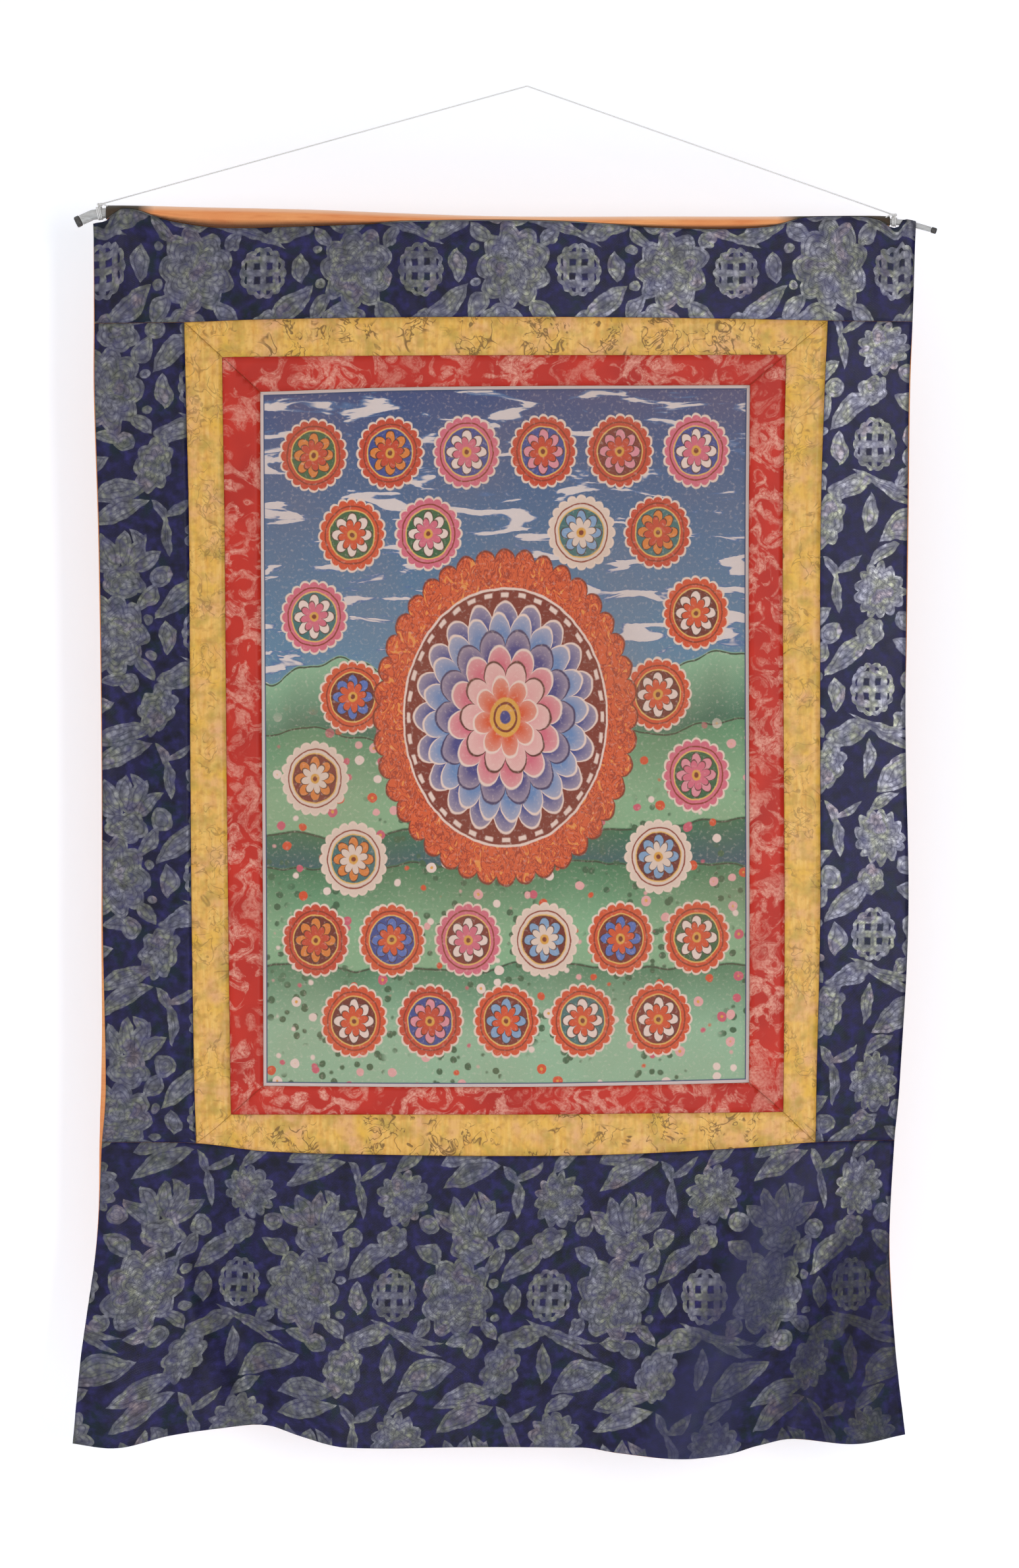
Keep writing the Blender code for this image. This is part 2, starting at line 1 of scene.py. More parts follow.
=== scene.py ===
# %% [markdown]
# # A painted scroll in silk brocade
# The object is a hanging scroll from the Himalayas: a painted cotton canvas,
# framed by a narrow red and a narrow yellow silk border, and set in a wide
# mount of navy brocade. An orange lining hangs behind it and makes the sleeve
# that a slim cane goes through, and a thin cord ties to the cane's two ends.
#
# The scroll could be one plane with a picture on it. Each cloth is a sheet of
# its own here, because a real scroll shows its seams, its layers at the edges
# and the folds that run across all of them.

# %% Load the frame
from functools import lru_cache, reduce
from math import atan2, ceil, cos, exp, pi, sin, tau

import bmesh
import bpy
from mathutils import Matrix, Vector, noise


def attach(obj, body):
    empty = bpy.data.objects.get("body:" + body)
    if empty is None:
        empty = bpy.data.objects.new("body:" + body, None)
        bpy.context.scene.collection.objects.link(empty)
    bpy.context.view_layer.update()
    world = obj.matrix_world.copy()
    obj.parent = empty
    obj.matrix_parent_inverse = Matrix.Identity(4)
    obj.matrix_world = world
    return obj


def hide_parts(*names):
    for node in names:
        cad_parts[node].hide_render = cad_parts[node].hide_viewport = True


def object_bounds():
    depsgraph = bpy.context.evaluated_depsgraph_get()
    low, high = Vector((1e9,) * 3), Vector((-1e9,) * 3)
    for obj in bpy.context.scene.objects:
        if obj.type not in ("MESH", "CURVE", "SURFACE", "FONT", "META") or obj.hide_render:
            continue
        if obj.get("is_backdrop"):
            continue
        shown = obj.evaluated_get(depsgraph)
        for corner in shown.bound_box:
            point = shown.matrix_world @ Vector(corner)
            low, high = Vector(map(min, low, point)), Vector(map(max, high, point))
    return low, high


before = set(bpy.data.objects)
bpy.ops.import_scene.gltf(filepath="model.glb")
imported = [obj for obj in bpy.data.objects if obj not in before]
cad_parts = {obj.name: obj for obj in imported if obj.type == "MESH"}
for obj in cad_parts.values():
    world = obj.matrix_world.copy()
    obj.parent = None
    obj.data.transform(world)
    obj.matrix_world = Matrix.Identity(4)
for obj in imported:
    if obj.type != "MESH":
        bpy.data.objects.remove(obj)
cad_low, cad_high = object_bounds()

MM = 0.001
print(f"the solids fill {(cad_high - cad_low).x:.3f} x {(cad_high - cad_low).z:.3f} m")

# %% [markdown]
# ## Helpers for every piece and material
# A new object shows once it is linked to the scene, and a bmesh is only a
# workshop: its mesh is taken out and the bmesh is freed. A maker picks dyes
# from a colour card. Such colours are sRGB values, and a shader works with
# light, so one function turns them to linear. One more adds a node, sets it and
# links it, which keeps each pattern short enough to read like a recipe.

# %% Object, colour and node helpers
def placed(name, data):
    """A new object in the scene, at the origin."""
    made = bpy.data.objects.new(name, data)
    bpy.context.scene.collection.objects.link(made)
    return made


def mesh_out_of(shape, name):
    """The mesh of a bmesh, which is then freed."""
    mesh = bpy.data.meshes.new(name)
    shape.to_mesh(mesh)
    shape.free()
    return mesh


def dye(code):
    """A colour-card value such as #b02820, as linear light."""
    parts = [int(code[i:i + 2], 16) / 255 for i in (1, 3, 5)]
    linear = [p / 12.92 if p <= 0.04045 else ((p + 0.055) / 1.055) ** 2.4 for p in parts]
    return (*linear, 1.0)


def add(tree, kind, *inputs, named=None, out=0, **settings):
    """Add a node with its settings; inputs are values or sockets, in order."""
    node = tree.nodes.new("ShaderNode" + kind)
    for name, value in settings.items():
        setattr(node, name, value)
    pairs = list(enumerate(inputs)) + list((named or {}).items())
    for key, value in pairs:
        if isinstance(value, bpy.types.NodeSocket):
            tree.links.new(value, node.inputs[key])
        elif value is not None:
            node.inputs[key].default_value = value
    return node.outputs[out]


def new_finish(name):
    """An empty material, and its node tree and surface socket."""
    finish = bpy.data.materials.new(name)
    finish.use_nodes = True
    tree = finish.node_tree
    tree.nodes.clear()
    output = tree.nodes.new("ShaderNodeOutputMaterial")
    return finish, tree, output.inputs["Surface"]


print("brick red #b02820 as linear light:", [round(part, 3) for part in dye("#b02820")[:3]])

# %% [markdown]
# ## The photograph's view
# A scroll is photographed square on, from far enough away that its edges stay
# parallel. A long lens at four and a half metres does that. The frame's height
# at the cloth sets the focal length.

# %% Camera
VIEW_MIDDLE = Vector((-16.4, 0.0, -656.0))
VIEW_HEIGHT = 1475.6
VIEW_DISTANCE = 4500.0
SENSOR = 24.0

lens = bpy.data.cameras.new("studio_camera")
lens.sensor_fit = "VERTICAL"
lens.sensor_height = SENSOR
lens.lens = SENSOR * VIEW_DISTANCE / VIEW_HEIGHT
lens.clip_end = 50.0
camera = placed("studio_camera", lens)
camera.location = (VIEW_MIDDLE + Vector((0.0, -VIEW_DISTANCE, 0.0))) * MM
camera.rotation_euler = (pi / 2, 0.0, 0.0)
bpy.context.scene.camera = camera
bpy.context.scene.view_settings.view_transform = "Standard"
print(f"focal length {lens.lens:.1f} mm")

# %% [markdown]
# ## The cord and its knots
# The cord is thin laid cotton: three strands twisted together. It goes from
# the knot at one end of the cane, over the nail, to the knot at the other end,
# and the scroll's weight keeps both legs straight. A round tube would do from
# afar. A section with three lobes that turns as it goes along looks like laid
# cord from close by, and costs only a little more.

# %% The cane's line and the cord's route
CORD_THICK = 1.4
NAIL_RADIUS = 2.0
TIE_THICK = 2.0
TIE_CLEARANCE = 0.5
TIE_PLACES = (-402.0, 345.5)
CORD_LEG_STEPS = 12
NAIL_STEPS = 4
KNOT_GAP = 0.3

ROD = (
    # across, drop below the nail, radius
    (-419.5, 125.3, 5.0),
    (-409.0, 120.5, 5.0),
    (-394.0, 118.3, 4.9),
    (-300.0, 120.0, 4.7),
    (-206.0, 121.8, 4.5),
    (-130.0, 124.6, 4.3),
    (-47.0, 127.3, 4.1),
    (20.0, 128.0, 4.0),
    (129.0, 127.6, 3.8),
    (217.0, 127.4, 3.5),
    (323.0, 126.2, 3.1),
    (346.0, 127.0, 3.0),
    (362.0, 129.0, 2.8),
    (380.0, 134.2, 2.5),
)


def read_table(table, at, column):
    """The value in a column at a place in the first one, on a smooth curve."""
    if at <= table[0][0]:
        return table[0][column]
    if at >= table[-1][0]:
        return table[-1][column]
    row = max(i for i in range(len(table) - 1) if table[i][0] <= at)
    before = table[max(row - 1, 0)]
    start = table[row]
    end = table[row + 1]
    after = table[min(row + 2, len(table) - 1)]
    span = end[0] - start[0]
    slope_in = (end[column] - before[column]) / (end[0] - before[0])
    slope_out = (after[column] - start[column]) / (after[0] - start[0])
    t = (at - start[0]) / span
    return (
        start[column] * (1 + 2 * t) * (1 - t) ** 2
        + slope_in * span * t * (1 - t) ** 2
        + end[column] * t * t * (3 - 2 * t)
        - slope_out * span * t * t * (1 - t)
    )


def rod_drop(across):
    return read_table(ROD, across, 1)


def rod_radius(across):
    return read_table(ROD, across, 2)


def rod_point(across):
    return Vector((across, 0.0, -rod_drop(across)))


def cord_end(across):
    """Where the cord leaves its knot, just above the turns round the cane."""
    tie_radius = rod_radius(across) + TIE_CLEARANCE + 0.5 * TIE_THICK
    lift = tie_radius + 0.5 * (TIE_THICK + CORD_THICK) + KNOT_GAP
    return rod_point(across) + Vector((0.0, 0.0, lift))


def cord_route():
    """Two straight legs, and the short bend over the nail between them."""
    bend = NAIL_RADIUS + 0.5 * CORD_THICK
    nail = Vector((0.0, 0.0, -NAIL_RADIUS))
    left, right = (cord_end(place) for place in TIE_PLACES)
    left_slope = atan2(nail.z + bend - left.z, nail.x - left.x)
    right_slope = atan2(nail.z + bend - right.z, right.x - nail.x)
    over = []
    for i in range(NAIL_STEPS + 1):
        angle = left_slope - (left_slope + right_slope) * i / NAIL_STEPS
        over.append(nail + bend * Vector((-sin(angle), 0.0, cos(angle))))
    up = [left.lerp(over[0], i / CORD_LEG_STEPS) for i in range(CORD_LEG_STEPS)]
    down = [right.lerp(over[-1], i / CORD_LEG_STEPS) for i in range(CORD_LEG_STEPS)]
    return up + over + down[::-1]


route = cord_route()

# %% Laid cord along any line
LAY_LENGTH = 4.2
LAY_STEP = 0.6
SECTION_POINTS = 12
LOBE_SHARE = 0.16


def spaced(points, step):
    """The same line with points at most a step apart."""
    line = [points[0]]
    for a, b in zip(points, points[1:]):
        count = max(1, ceil((b - a).length / step))
        line += [a.lerp(b, i / count) for i in range(1, count + 1)]
    return line


def laid_cord(points, thick):
    """A mesh of three twisted strands along a line in millimetres."""
    section = bpy.data.curves.new("section", "CURVE")
    ring = section.splines.new("POLY")
    ring.points.add(SECTION_POINTS - 1)
    for i, point in enumerate(ring.points):
        turn = tau * i / SECTION_POINTS
        out = 0.5 * thick * (1.0 + LOBE_SHARE * (cos(3.0 * turn) - 0.5)) * MM
        point.co = (out * cos(turn), out * sin(turn), 0.0, 1.0)
    ring.use_cyclic_u = True
    holder = placed("section", section)
    line = spaced(points, LAY_STEP)
    curve = bpy.data.curves.new("line", "CURVE")
    curve.dimensions = "3D"
    curve.bevel_mode = "OBJECT"
    curve.bevel_object = holder
    curve.use_fill_caps = True
    spline = curve.splines.new("POLY")
    spline.points.add(len(line) - 1)
    gone = 0.0
    for i, place in enumerate(line):
        gone += (place - line[i - 1]).length if i else 0.0
        spline.points[i].co = (*(place * MM), 1.0)
        spline.points[i].tilt = tau * gone / LAY_LENGTH
    runner = placed("line", curve)
    bpy.context.view_layer.update()
    shown = runner.evaluated_get(bpy.context.evaluated_depsgraph_get())
    mesh = bpy.data.meshes.new_from_object(shown)
    for made in (holder, runner):
        bpy.data.objects.remove(made)
    return mesh


def finished_piece(name, mesh, body="root"):
    """A shown object at the origin that rides on a body."""
    mesh.name = name
    mesh.shade_smooth()
    piece = placed(name, mesh)
    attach(piece, body)
    return piece


print(f"the strands turn once every {LAY_LENGTH} mm")

# %% The hanging cord
hanging_cord = finished_piece("laid_hanging_cord", laid_cord(route, CORD_THICK))
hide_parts("hanging_cord")
print(f"hanging cord: {len(hanging_cord.data.polygons)} faces")

# %% [markdown]
# ## How the cord is tied
# The cord takes three turns round the bare cane and ends in a small overhand
# knot on top, with a short free end. A ring would stand for it, but the
# knots are the one place where the eye looks closely at so plain a cord.

# %% Turns, knot and free end at both ends of the cane
TURN_COUNT = 3
TURN_PITCH = 1.5
TURN_STEPS = 20
KNOT_SIZE = 1.05
KNOT_STEPS = 48
FREE_END = 11.0


def turns_round_cane(across):
    """A helix that lies on the cane."""
    along = (rod_point(across + 1.0) - rod_point(across - 1.0)).normalized()
    upward = Vector((0.0, -1.0, 0.0)).cross(along).normalized()
    if upward.z < 0.0:
        upward = -upward
    outward = along.cross(upward)
    reach = rod_radius(across) + 0.5 * CORD_THICK + 0.1
    line = []
    for i in range(TURN_COUNT * TURN_STEPS + 1):
        turn = tau * i / TURN_STEPS
        shift = TURN_PITCH * (i / TURN_STEPS - 0.5 * TURN_COUNT)
        line.append(
            rod_point(across) + along * shift
            + (upward * cos(turn) + outward * sin(turn)) * reach
        )
    return line


def overhand_knot(middle):
    """A trefoil line, drawn small and tight."""
    line = []
    for i in range(KNOT_STEPS + 1):
        t = tau * i / KNOT_STEPS
        line.append(middle + KNOT_SIZE * Vector((
            0.75 * (sin(t) + 2.0 * sin(2.0 * t)),
            0.8 * sin(3.0 * t),
            0.62 * (cos(t) - 2.0 * cos(2.0 * t)),
        )))
    return line


def free_end(middle, side):
    """The end of the cord, which droops to one side of the knot."""
    line = []
    for i in range(9):
        t = i / 8
        line.append(middle + Vector((
            side * FREE_END * t, -2.2 * sin(pi * t) - 1.2, 1.5 * t - 9.0 * t * t * t,
        )))
    return line


def joined(meshes):
    """One mesh from several, which are then dropped."""
    whole = bmesh.new()
    for mesh in meshes:
        whole.from_mesh(mesh)
        bpy.data.meshes.remove(mesh)
    return mesh_out_of(whole, "joined")


ties = []
for across, side, node in zip(TIE_PLACES, (1.0, -1.0), ("cord_tie_left", "cord_tie_right")):
    knot_middle = rod_point(across) + Vector((0.0, -0.4, rod_radius(across) + 2.9))
    lines = (turns_round_cane(across), overhand_knot(knot_middle), free_end(knot_middle, side))
    tie = finished_piece(f"knotted_{node}", joined([laid_cord(x, CORD_THICK) for x in lines]))
    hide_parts(node)
    ties.append(tie)
print(f"{len(ties)} knots of {TURN_COUNT} turns")

[tuple(point * MM) for point in spaced(route, 10.0)]

# %% [markdown]
# ## The pattern of the scroll
# A scroll is cut flat: the canvas in the middle, two mitred borders, and four
# brocade panels, all by upright and level lines. These are the same cutting
# lines, in millimetres, that the solids were made from.

# %% Cutting lines
UPRIGHTS = (-403.0, -319.0, -284.0, -250.0, 210.0, 244.0, 279.0, 363.0)
LEVELS = (0.0, 89.0, 123.0, 153.0, 808.0, 836.0, 870.0, 1148.0)
SEAM_GAP = 0.3
SLEEVE_FLAT = 40.0
SLEEVE_LEFT, NOTCH_LEFT = -391.0, 338.0

HUNG_UPRIGHTS = (
    # down, edge, yellow, red, painting, painting, red, yellow, edge
    (0.0, -408.0, -322.5, -287.0, -251.0, 210.0, 244.5, 283.5, 366.0),
    (90.0, -407.0, -322.5, -287.0, -251.0, 210.0, 244.5, 283.0, 363.0),
    (150.0, -407.0, -321.0, -286.5, -251.0, 210.0, 243.5, 280.5, 360.0),
    (285.0, -403.0, -318.0, -284.5, -250.5, 209.0, 241.0, 276.5, 358.0),
    (470.0, -400.5, -317.0, -283.0, -249.5, 209.0, 241.5, 276.0, 356.0),
    (655.0, -399.5, -315.5, -281.0, -248.5, 209.5, 242.5, 276.0, 359.0),
    (810.0, -396.5, -313.0, -279.0, -248.0, 209.0, 241.5, 272.5, 351.0),
    (870.0, -400.0, -311.5, -278.0, -247.5, 208.5, 240.5, 271.5, 346.0),
    (965.0, -405.0, -315.0, -281.0, -250.0, 204.0, 236.0, 267.0, 341.5),
    (1065.0, -419.0, -326.0, -290.0, -255.0, 202.0, 235.0, 268.0, 346.0),
    (1148.0, -427.0, -332.0, -295.0, -258.0, 205.0, 240.0, 275.0, 356.0),
)

HUNG_SEAMS = (
    # across, yellow, red, painting, painting, red, yellow
    (-403.0, 222.5, 256.0, 288.0, 939.0, 967.0, 993.0),
    (-319.0, 221.5, 255.0, 287.5, 939.5, 967.0, 994.0),
    (-250.0, 219.0, 254.0, 287.0, 940.0, 967.0, 1001.5),
    (-130.0, 217.0, 253.0, 283.0, 941.0, 967.0, 1005.0),
    (0.0, 216.5, 252.5, 281.5, 941.0, 967.0, 1006.0),
    (100.0, 217.0, 252.5, 281.0, 939.5, 966.0, 1004.0),
    (210.0, 218.5, 252.0, 280.5, 937.0, 965.0, 998.0),
    (279.0, 220.0, 252.0, 281.0, 935.0, 964.0, 993.0),
    (363.0, 221.0, 252.5, 281.0, 934.0, 963.0, 991.0),
)

HUNG_HEM = (
    # across, drop
    (-403.0, 1276.0),
    (-364.0, 1280.0),
    (-321.0, 1269.0),
    (-270.0, 1262.0),
    (-234.0, 1262.0),
    (-208.0, 1269.0),
    (-161.0, 1280.0),
    (-55.0, 1281.0),
    (54.0, 1281.0),
    (87.0, 1285.0),
    (151.0, 1288.0),
    (195.0, 1286.0),
    (222.0, 1279.0),
    (253.0, 1274.0),
    (314.0, 1276.0),
    (363.0, 1268.0),
)

BROCADE_SAG = (
    # across, how far the brocade's top edge lies below the middle of the cane
    (-403.0, 8.8),
    (-391.0, 8.0),
    (-378.0, -2.5),
    (-366.0, -2.5),
    (-345.0, 4.5),
    (-319.0, 9.5),
    (-284.0, 12.7),
    (-230.0, 11.0),
    (-150.0, 6.0),
    (-110.0, 2.2),
    (-35.0, -1.0),
    (35.0, -0.3),
    (115.0, 5.0),
    (185.0, 6.5),
    (235.0, 3.7),
    (262.0, -4.0),
    (312.0, -4.0),
    (328.0, 0.5),
    (338.0, 5.2),
    (345.5, 5.2),
    (349.0, -1.0),
    (353.0, -3.5),
    (363.0, -3.5),
)

LINING_PEEK = (
    # down, how far the lining stands out past the brocade's left and right edge
    (0.0, 0.0, 0.0),
    (90.0, 0.7, 0.0),
    (140.0, 0.8, 0.9),
    (400.0, 0.7, 0.9),
    (440.0, 0.6, 0.2),
    (600.0, 0.6, 0.0),
    (740.0, 2.5, 0.0),
    (825.0, 4.5, 0.0),
    (865.0, 2.5, 0.0),
    (930.0, 0.5, 0.0),
    (1148.0, 0.0, 0.0),
)
print(f"the mount is cut {UPRIGHTS[-1] - UPRIGHTS[0]:.0f} x {LEVELS[-1] - LEVELS[0]:.0f} mm")

# %% [markdown]
# ## Folds and creases
# The lower brocade is wide and loose, so broad folds run down it to the hem.
# Cloth simulation could find such folds, but not these ones in these places.
# So each fold is a soft ridge along a line from its head to its foot. The long
# ones are those of the solids, and the short creases are put on top here.

# %% Fold tables
FOLDS = (
    # head across, head drop, foot across, foot drop, half width, depth, at hem
    (264.0, 990.0, 138.0, 1290.0, 38.0, 25.0, True),
    (206.0, 1000.0, 58.0, 1290.0, 17.0, -7.0, True),
    (345.0, 1040.0, 240.0, 1290.0, 24.0, -12.0, True),
    (362.0, 1090.0, 305.0, 1290.0, 24.0, 9.0, True),
    (-306.0, 1020.0, -244.0, 1290.0, 26.0, -17.0, True),
    (-375.0, 1040.0, -402.0, 1290.0, 34.0, 9.0, True),
    (-205.0, 1110.0, -180.0, 1290.0, 28.0, 7.0, True),
    (-70.0, 1080.0, -40.0, 1290.0, 55.0, -6.0, True),
    (325.0, 260.0, 335.0, 900.0, 40.0, 5.0, False),
    (-385.0, 300.0, -375.0, 900.0, 36.0, -5.0, False),
    (-110.0, 240.0, 90.0, 1020.0, 110.0, 5.0, False),
    (215.0, 180.0, 150.0, 640.0, 80.0, -4.0, False),
)
FOLD_HEAD_SHARE = 0.45
FOLD_FREE_DROP = 20.0
FOLD_FULL_DROP = 90.0

CREASES = (
    # head across, head drop, foot across, foot drop, half width, depth
    (334.0, 118.0, 292.0, 196.0, 6.0, 1.8),
    (346.0, 128.0, 330.0, 214.0, 5.0, 1.6),
    (318.0, 120.0, 246.0, 176.0, 6.5, -1.5),
    (-396.0, 122.0, -368.0, 204.0, 6.0, 1.6),
    (-380.0, 120.0, -330.0, 190.0, 7.0, -1.4),
    (212.0, 1020.0, 62.0, 1262.0, 6.0, 2.6),
    (318.0, 1036.0, 192.0, 1275.0, 6.0, 2.4),
    (176.0, 1012.0, 30.0, 1190.0, 9.0, -1.8),
    (118.0, 1010.0, -6.0, 1150.0, 10.0, 1.2),
    (340.0, 950.0, 286.0, 1090.0, 7.0, 1.6),
    (-340.0, 1030.0, -300.0, 1240.0, 7.0, 2.0),
    (-268.0, 1060.0, -214.0, 1262.0, 8.0, 1.8),
    (-398.0, 1010.0, -384.0, 1130.0, 6.0, 1.4),
    (-60.0, 1180.0, -90.0, 1278.0, 12.0, 1.6),
    (24.0, 1190.0, 10.0, 1280.0, 12.0, -1.5),
)
print(f"{len(FOLDS)} long folds and {len(CREASES)} short creases")

# %% [markdown]
# ## Hanging a flat cloth
# Each point of the flat pattern gets its place in three steps. The tables say
# how far across and down it hangs, the folds bring it forward or back, and the
# layer's own offset keeps front and lining apart. Near the top the cloth rounds
# the cane instead.

# %% From the flat pattern to the hung cloth
LAYER_PITCH = 1.5
SLEEVE_STAND_OFF = 1.6
SLEEVE_FADE = 16.0
SLEEVE_STEPS = 9
SLEEVE_SEAM_GAP = 0.8
BROCADE_SIDE = 84.0


def ease(value):
    """A soft step from 0 to 1."""
    value = min(max(value, 0.0), 1.0)
    return value * value * (3.0 - 2.0 * value)


def between(lines, values, at):
    """The value at a place, in straight runs between the lines' values."""
    i = max([k for k in range(len(lines) - 1) if lines[k] <= at] or [0])
    share = (at - lines[i]) / (lines[i + 1] - lines[i])
    return values[i] + share * (values[i + 1] - values[i])


@lru_cache(maxsize=None)
def uprights_at(down):
    return [read_table(HUNG_UPRIGHTS, down, i + 1) for i in range(8)]


def hung_x(across, down):
    return between(UPRIGHTS, uprights_at(down), across)


@lru_cache(maxsize=None)
def drops_at(across):
    top = rod_drop(hung_x(across, 0.0)) + read_table(BROCADE_SAG, across, 1)
    seams = [read_table(HUNG_SEAMS, across, i + 1) for i in range(6)]
    return [top] + seams + [read_table(HUNG_HEM, across, 1)]


def along_fold(fold, x, drop):
    """The share of a fold's length gone at a drop, and how far off it x is."""
    head_x, head_drop, foot_x, foot_drop, width = fold[:5]
    share = (drop - head_drop) / (foot_drop - head_drop)
    lean = cos(atan2(foot_x - head_x, foot_drop - head_drop))
    middle = head_x + share * (foot_x - head_x)
    return share, (x - middle) * lean / width


def fold_depth(x, drop):
    """How far the long folds bring the cloth towards the viewer."""
    depth = 0.0
    for fold in FOLDS:
        share, away = along_fold(fold, x, drop)
        if share <= 0.0:
            continue
        fade = ease(share / FOLD_HEAD_SHARE)
        if not fold[6]:
            fade *= ease((1.0 - share) / FOLD_HEAD_SHARE)
        depth += fold[5] * fade * exp(-away * away)
    ease_in = (drop - rod_drop(x) - FOLD_FREE_DROP) / (FOLD_FULL_DROP - FOLD_FREE_DROP)
    return depth * ease(ease_in)


def middle_point(across, down):
    """The cloth's own surface, halfway between front and lining."""
    x = hung_x(across, down)
    drop = between(LEVELS, drops_at(across), down)
    return Vector((x, -fold_depth(x, drop), -drop))


def layer_offset(x, below_rod):
    """From the middle surface out to the middle of the front or the lining."""
    near = 0.5 * LAYER_PITCH
    swell = rod_radius(x) + SLEEVE_STAND_OFF - near
    return near + swell * exp(-((below_rod / SLEEVE_FADE) ** 2))


def around_rod(across, wrap):
    """A point of the sleeve: behind the cane below 0, in front past half a turn."""
    x = hung_x(across, 0.0)
    radius = rod_radius(x) + SLEEVE_STAND_OFF
    half_turn = pi * radius
    if 0.0 <= wrap <= half_turn:
        angle = wrap / radius
        return Vector((x, radius * cos(angle), radius * sin(angle) - rod_drop(x)))
    below = -wrap if wrap < 0.0 else wrap - half_turn
    side = 1.0 if wrap < 0.0 else -1.0
    return Vector((x, side * layer_offset(x, below), -rod_drop(x) - below))


def hang_point(across, down, layer, relief=0.0):
    """Where a point of the flat pattern hangs; layer is 1 in front, -1 behind."""
    here = middle_point(across, down)
    below = -here.z - rod_drop(here.x)
    if below <= 0.0:
        half_turn = pi * (rod_radius(here.x) + SLEEVE_STAND_OFF)
        return around_rod(across, half_turn + below if layer > 0 else -below)
    right = middle_point(across + 1.0, down) - middle_point(across - 1.0, down)
    fall = middle_point(across, down + 1.0) - middle_point(across, down - 1.0)
    normal = fall.cross(right).normalized()
    return here + normal * (layer * layer_offset(here.x, below) + relief * ease(below / 12.0))


def hang_sleeve(across, share):
    """The lining over the cane, from the back (0) to the brocade's edge (1)."""
    x = hung_x(across, 0.0)
    sag = read_table(BROCADE_SAG, across, 1)
    half_turn = pi * (rod_radius(x) + SLEEVE_STAND_OFF)
    end = half_turn + sag - SLEEVE_SEAM_GAP
    on_rod = max(0.0, SLEEVE_SEAM_GAP - sag)
    off_rod = min(half_turn, end - SLEEVE_SEAM_GAP)
    step = 1.0 / SLEEVE_STEPS
    wrap = between((0.0, step, 1.0 - step, 1.0), (-sag, on_rod, off_rod, end), share)
    return around_rod(across, wrap)


corner = hang_point(UPRIGHTS[-1], LEVELS[-1], 1)
print("the lower right corner hangs at", [round(part) for part in corner], "mm")

# %% [markdown]
# ## The life in the cloth
# Hand-sewn silk is never flat. It puckers along its seams, where the thread
# draws it in, rolls down into each seam, and shows short creases and a slow
# wave all over. These are all under three millimetres, so they go on top of the
# folds, square to the cloth.

# %% Small relief
WAVE_SIZE = 75.0
WAVE_DEPTH = 1.0
RUFFLE_SIZE = 24.0
RUFFLE_DEPTH = 0.35
PUCKER_LENGTH = 19.0
PUCKER_REACH = 10.0
PUCKER_DEPTH = 0.5
SEAM_ROLL = 0.3
SEAM_ROLL_REACH = 1.6


def slow_wave(x, drop):
    """The wave and the short creases that front and lining share."""
    wave = noise.noise(Vector((x, drop, 0.0)) / WAVE_SIZE) * WAVE_DEPTH
    ruffle = noise.noise(Vector((x, drop, 50.0)) / RUFFLE_SIZE) * RUFFLE_DEPTH
    relief = wave + ruffle
    for crease in CREASES:
        share, away = along_fold(crease, x, drop)
        if 0.0 < share < 1.0 and abs(away) < 3.0:
            fade = ease(share / 0.35) * ease((1.0 - share) / 0.35)
            relief += crease[5] * fade * exp(-away * away)
    return relief


def pucker(across, down, panel):
    """The gathers that stand along a panel's seams, and the roll into them."""
    left, right, top, foot = panel
    relief = 0.0
    sides = (
        (across - left, down, 1.0), (right - across, down, 2.0),
        (down - top, across, 3.0), (foot - down, across, 4.0),
    )
    for away, along, seed in sides:
        away = abs(away)
        if away > 4.0 * PUCKER_REACH:
            continue
        drift = noise.noise(Vector((along / 60.0, seed, left / 40.0))) * 2.5
        gather = 0.5 + 0.5 * sin(tau * along / PUCKER_LENGTH + drift * 3.0)
        strength = 0.6 + 0.4 * noise.noise(Vector((along / 45.0, seed, 9.0)))
        relief += PUCKER_DEPTH * gather * strength * exp(-away / PUCKER_REACH)
        relief -= SEAM_ROLL * exp(-((away / SEAM_ROLL_REACH) ** 2))
    return relief


print(f"the corner's own waves and creases: {slow_wave(corner.x, -corner.z):.1f} mm")

# %% [markdown]
# ## Cutting and hanging the sheets
# Each panel starts as a flat grid with its place on the pattern as its UV map,
# in metres, so that a woven motif keeps its real size round every fold. The
# border strips are cut along their mitres. Then the grid is hung, and Solidify
# gives it the thickness of the cloth.

# %% Panels
BROCADE_CLOTH, SILK_CLOTH, CANVAS_CLOTH, LINING_CLOTH = 0.9, 0.7, 0.8, 0.6


def flat_grid(left, right, top, foot, pitch):
    """A flat panel of square cells in the pattern's own coordinates."""
    cloth = bmesh.new()
    size = Matrix.Diagonal((0.5 * (right - left), 0.5 * (foot - top), 1.0, 1.0))
    place = Matrix.Translation((0.5 * (left + right), 0.5 * (top + foot), 0.0))
    bmesh.ops.create_grid(
        cloth, x_segments=ceil((right - left) / pitch),
        y_segments=ceil((foot - top) / pitch), size=1.0, matrix=place @ size,
    )
    return cloth


def cut(cloth, point, away_side=None, direction=None):
    """Cut flat cloth along a line; what lies on the away side falls off."""
    whole = cloth.verts[:] + cloth.edges[:] + cloth.faces[:]
    bmesh.ops.bisect_plane(
        cloth, geom=whole, plane_co=point, plane_no=direction or away_side,
        clear_outer=away_side is not None,
    )


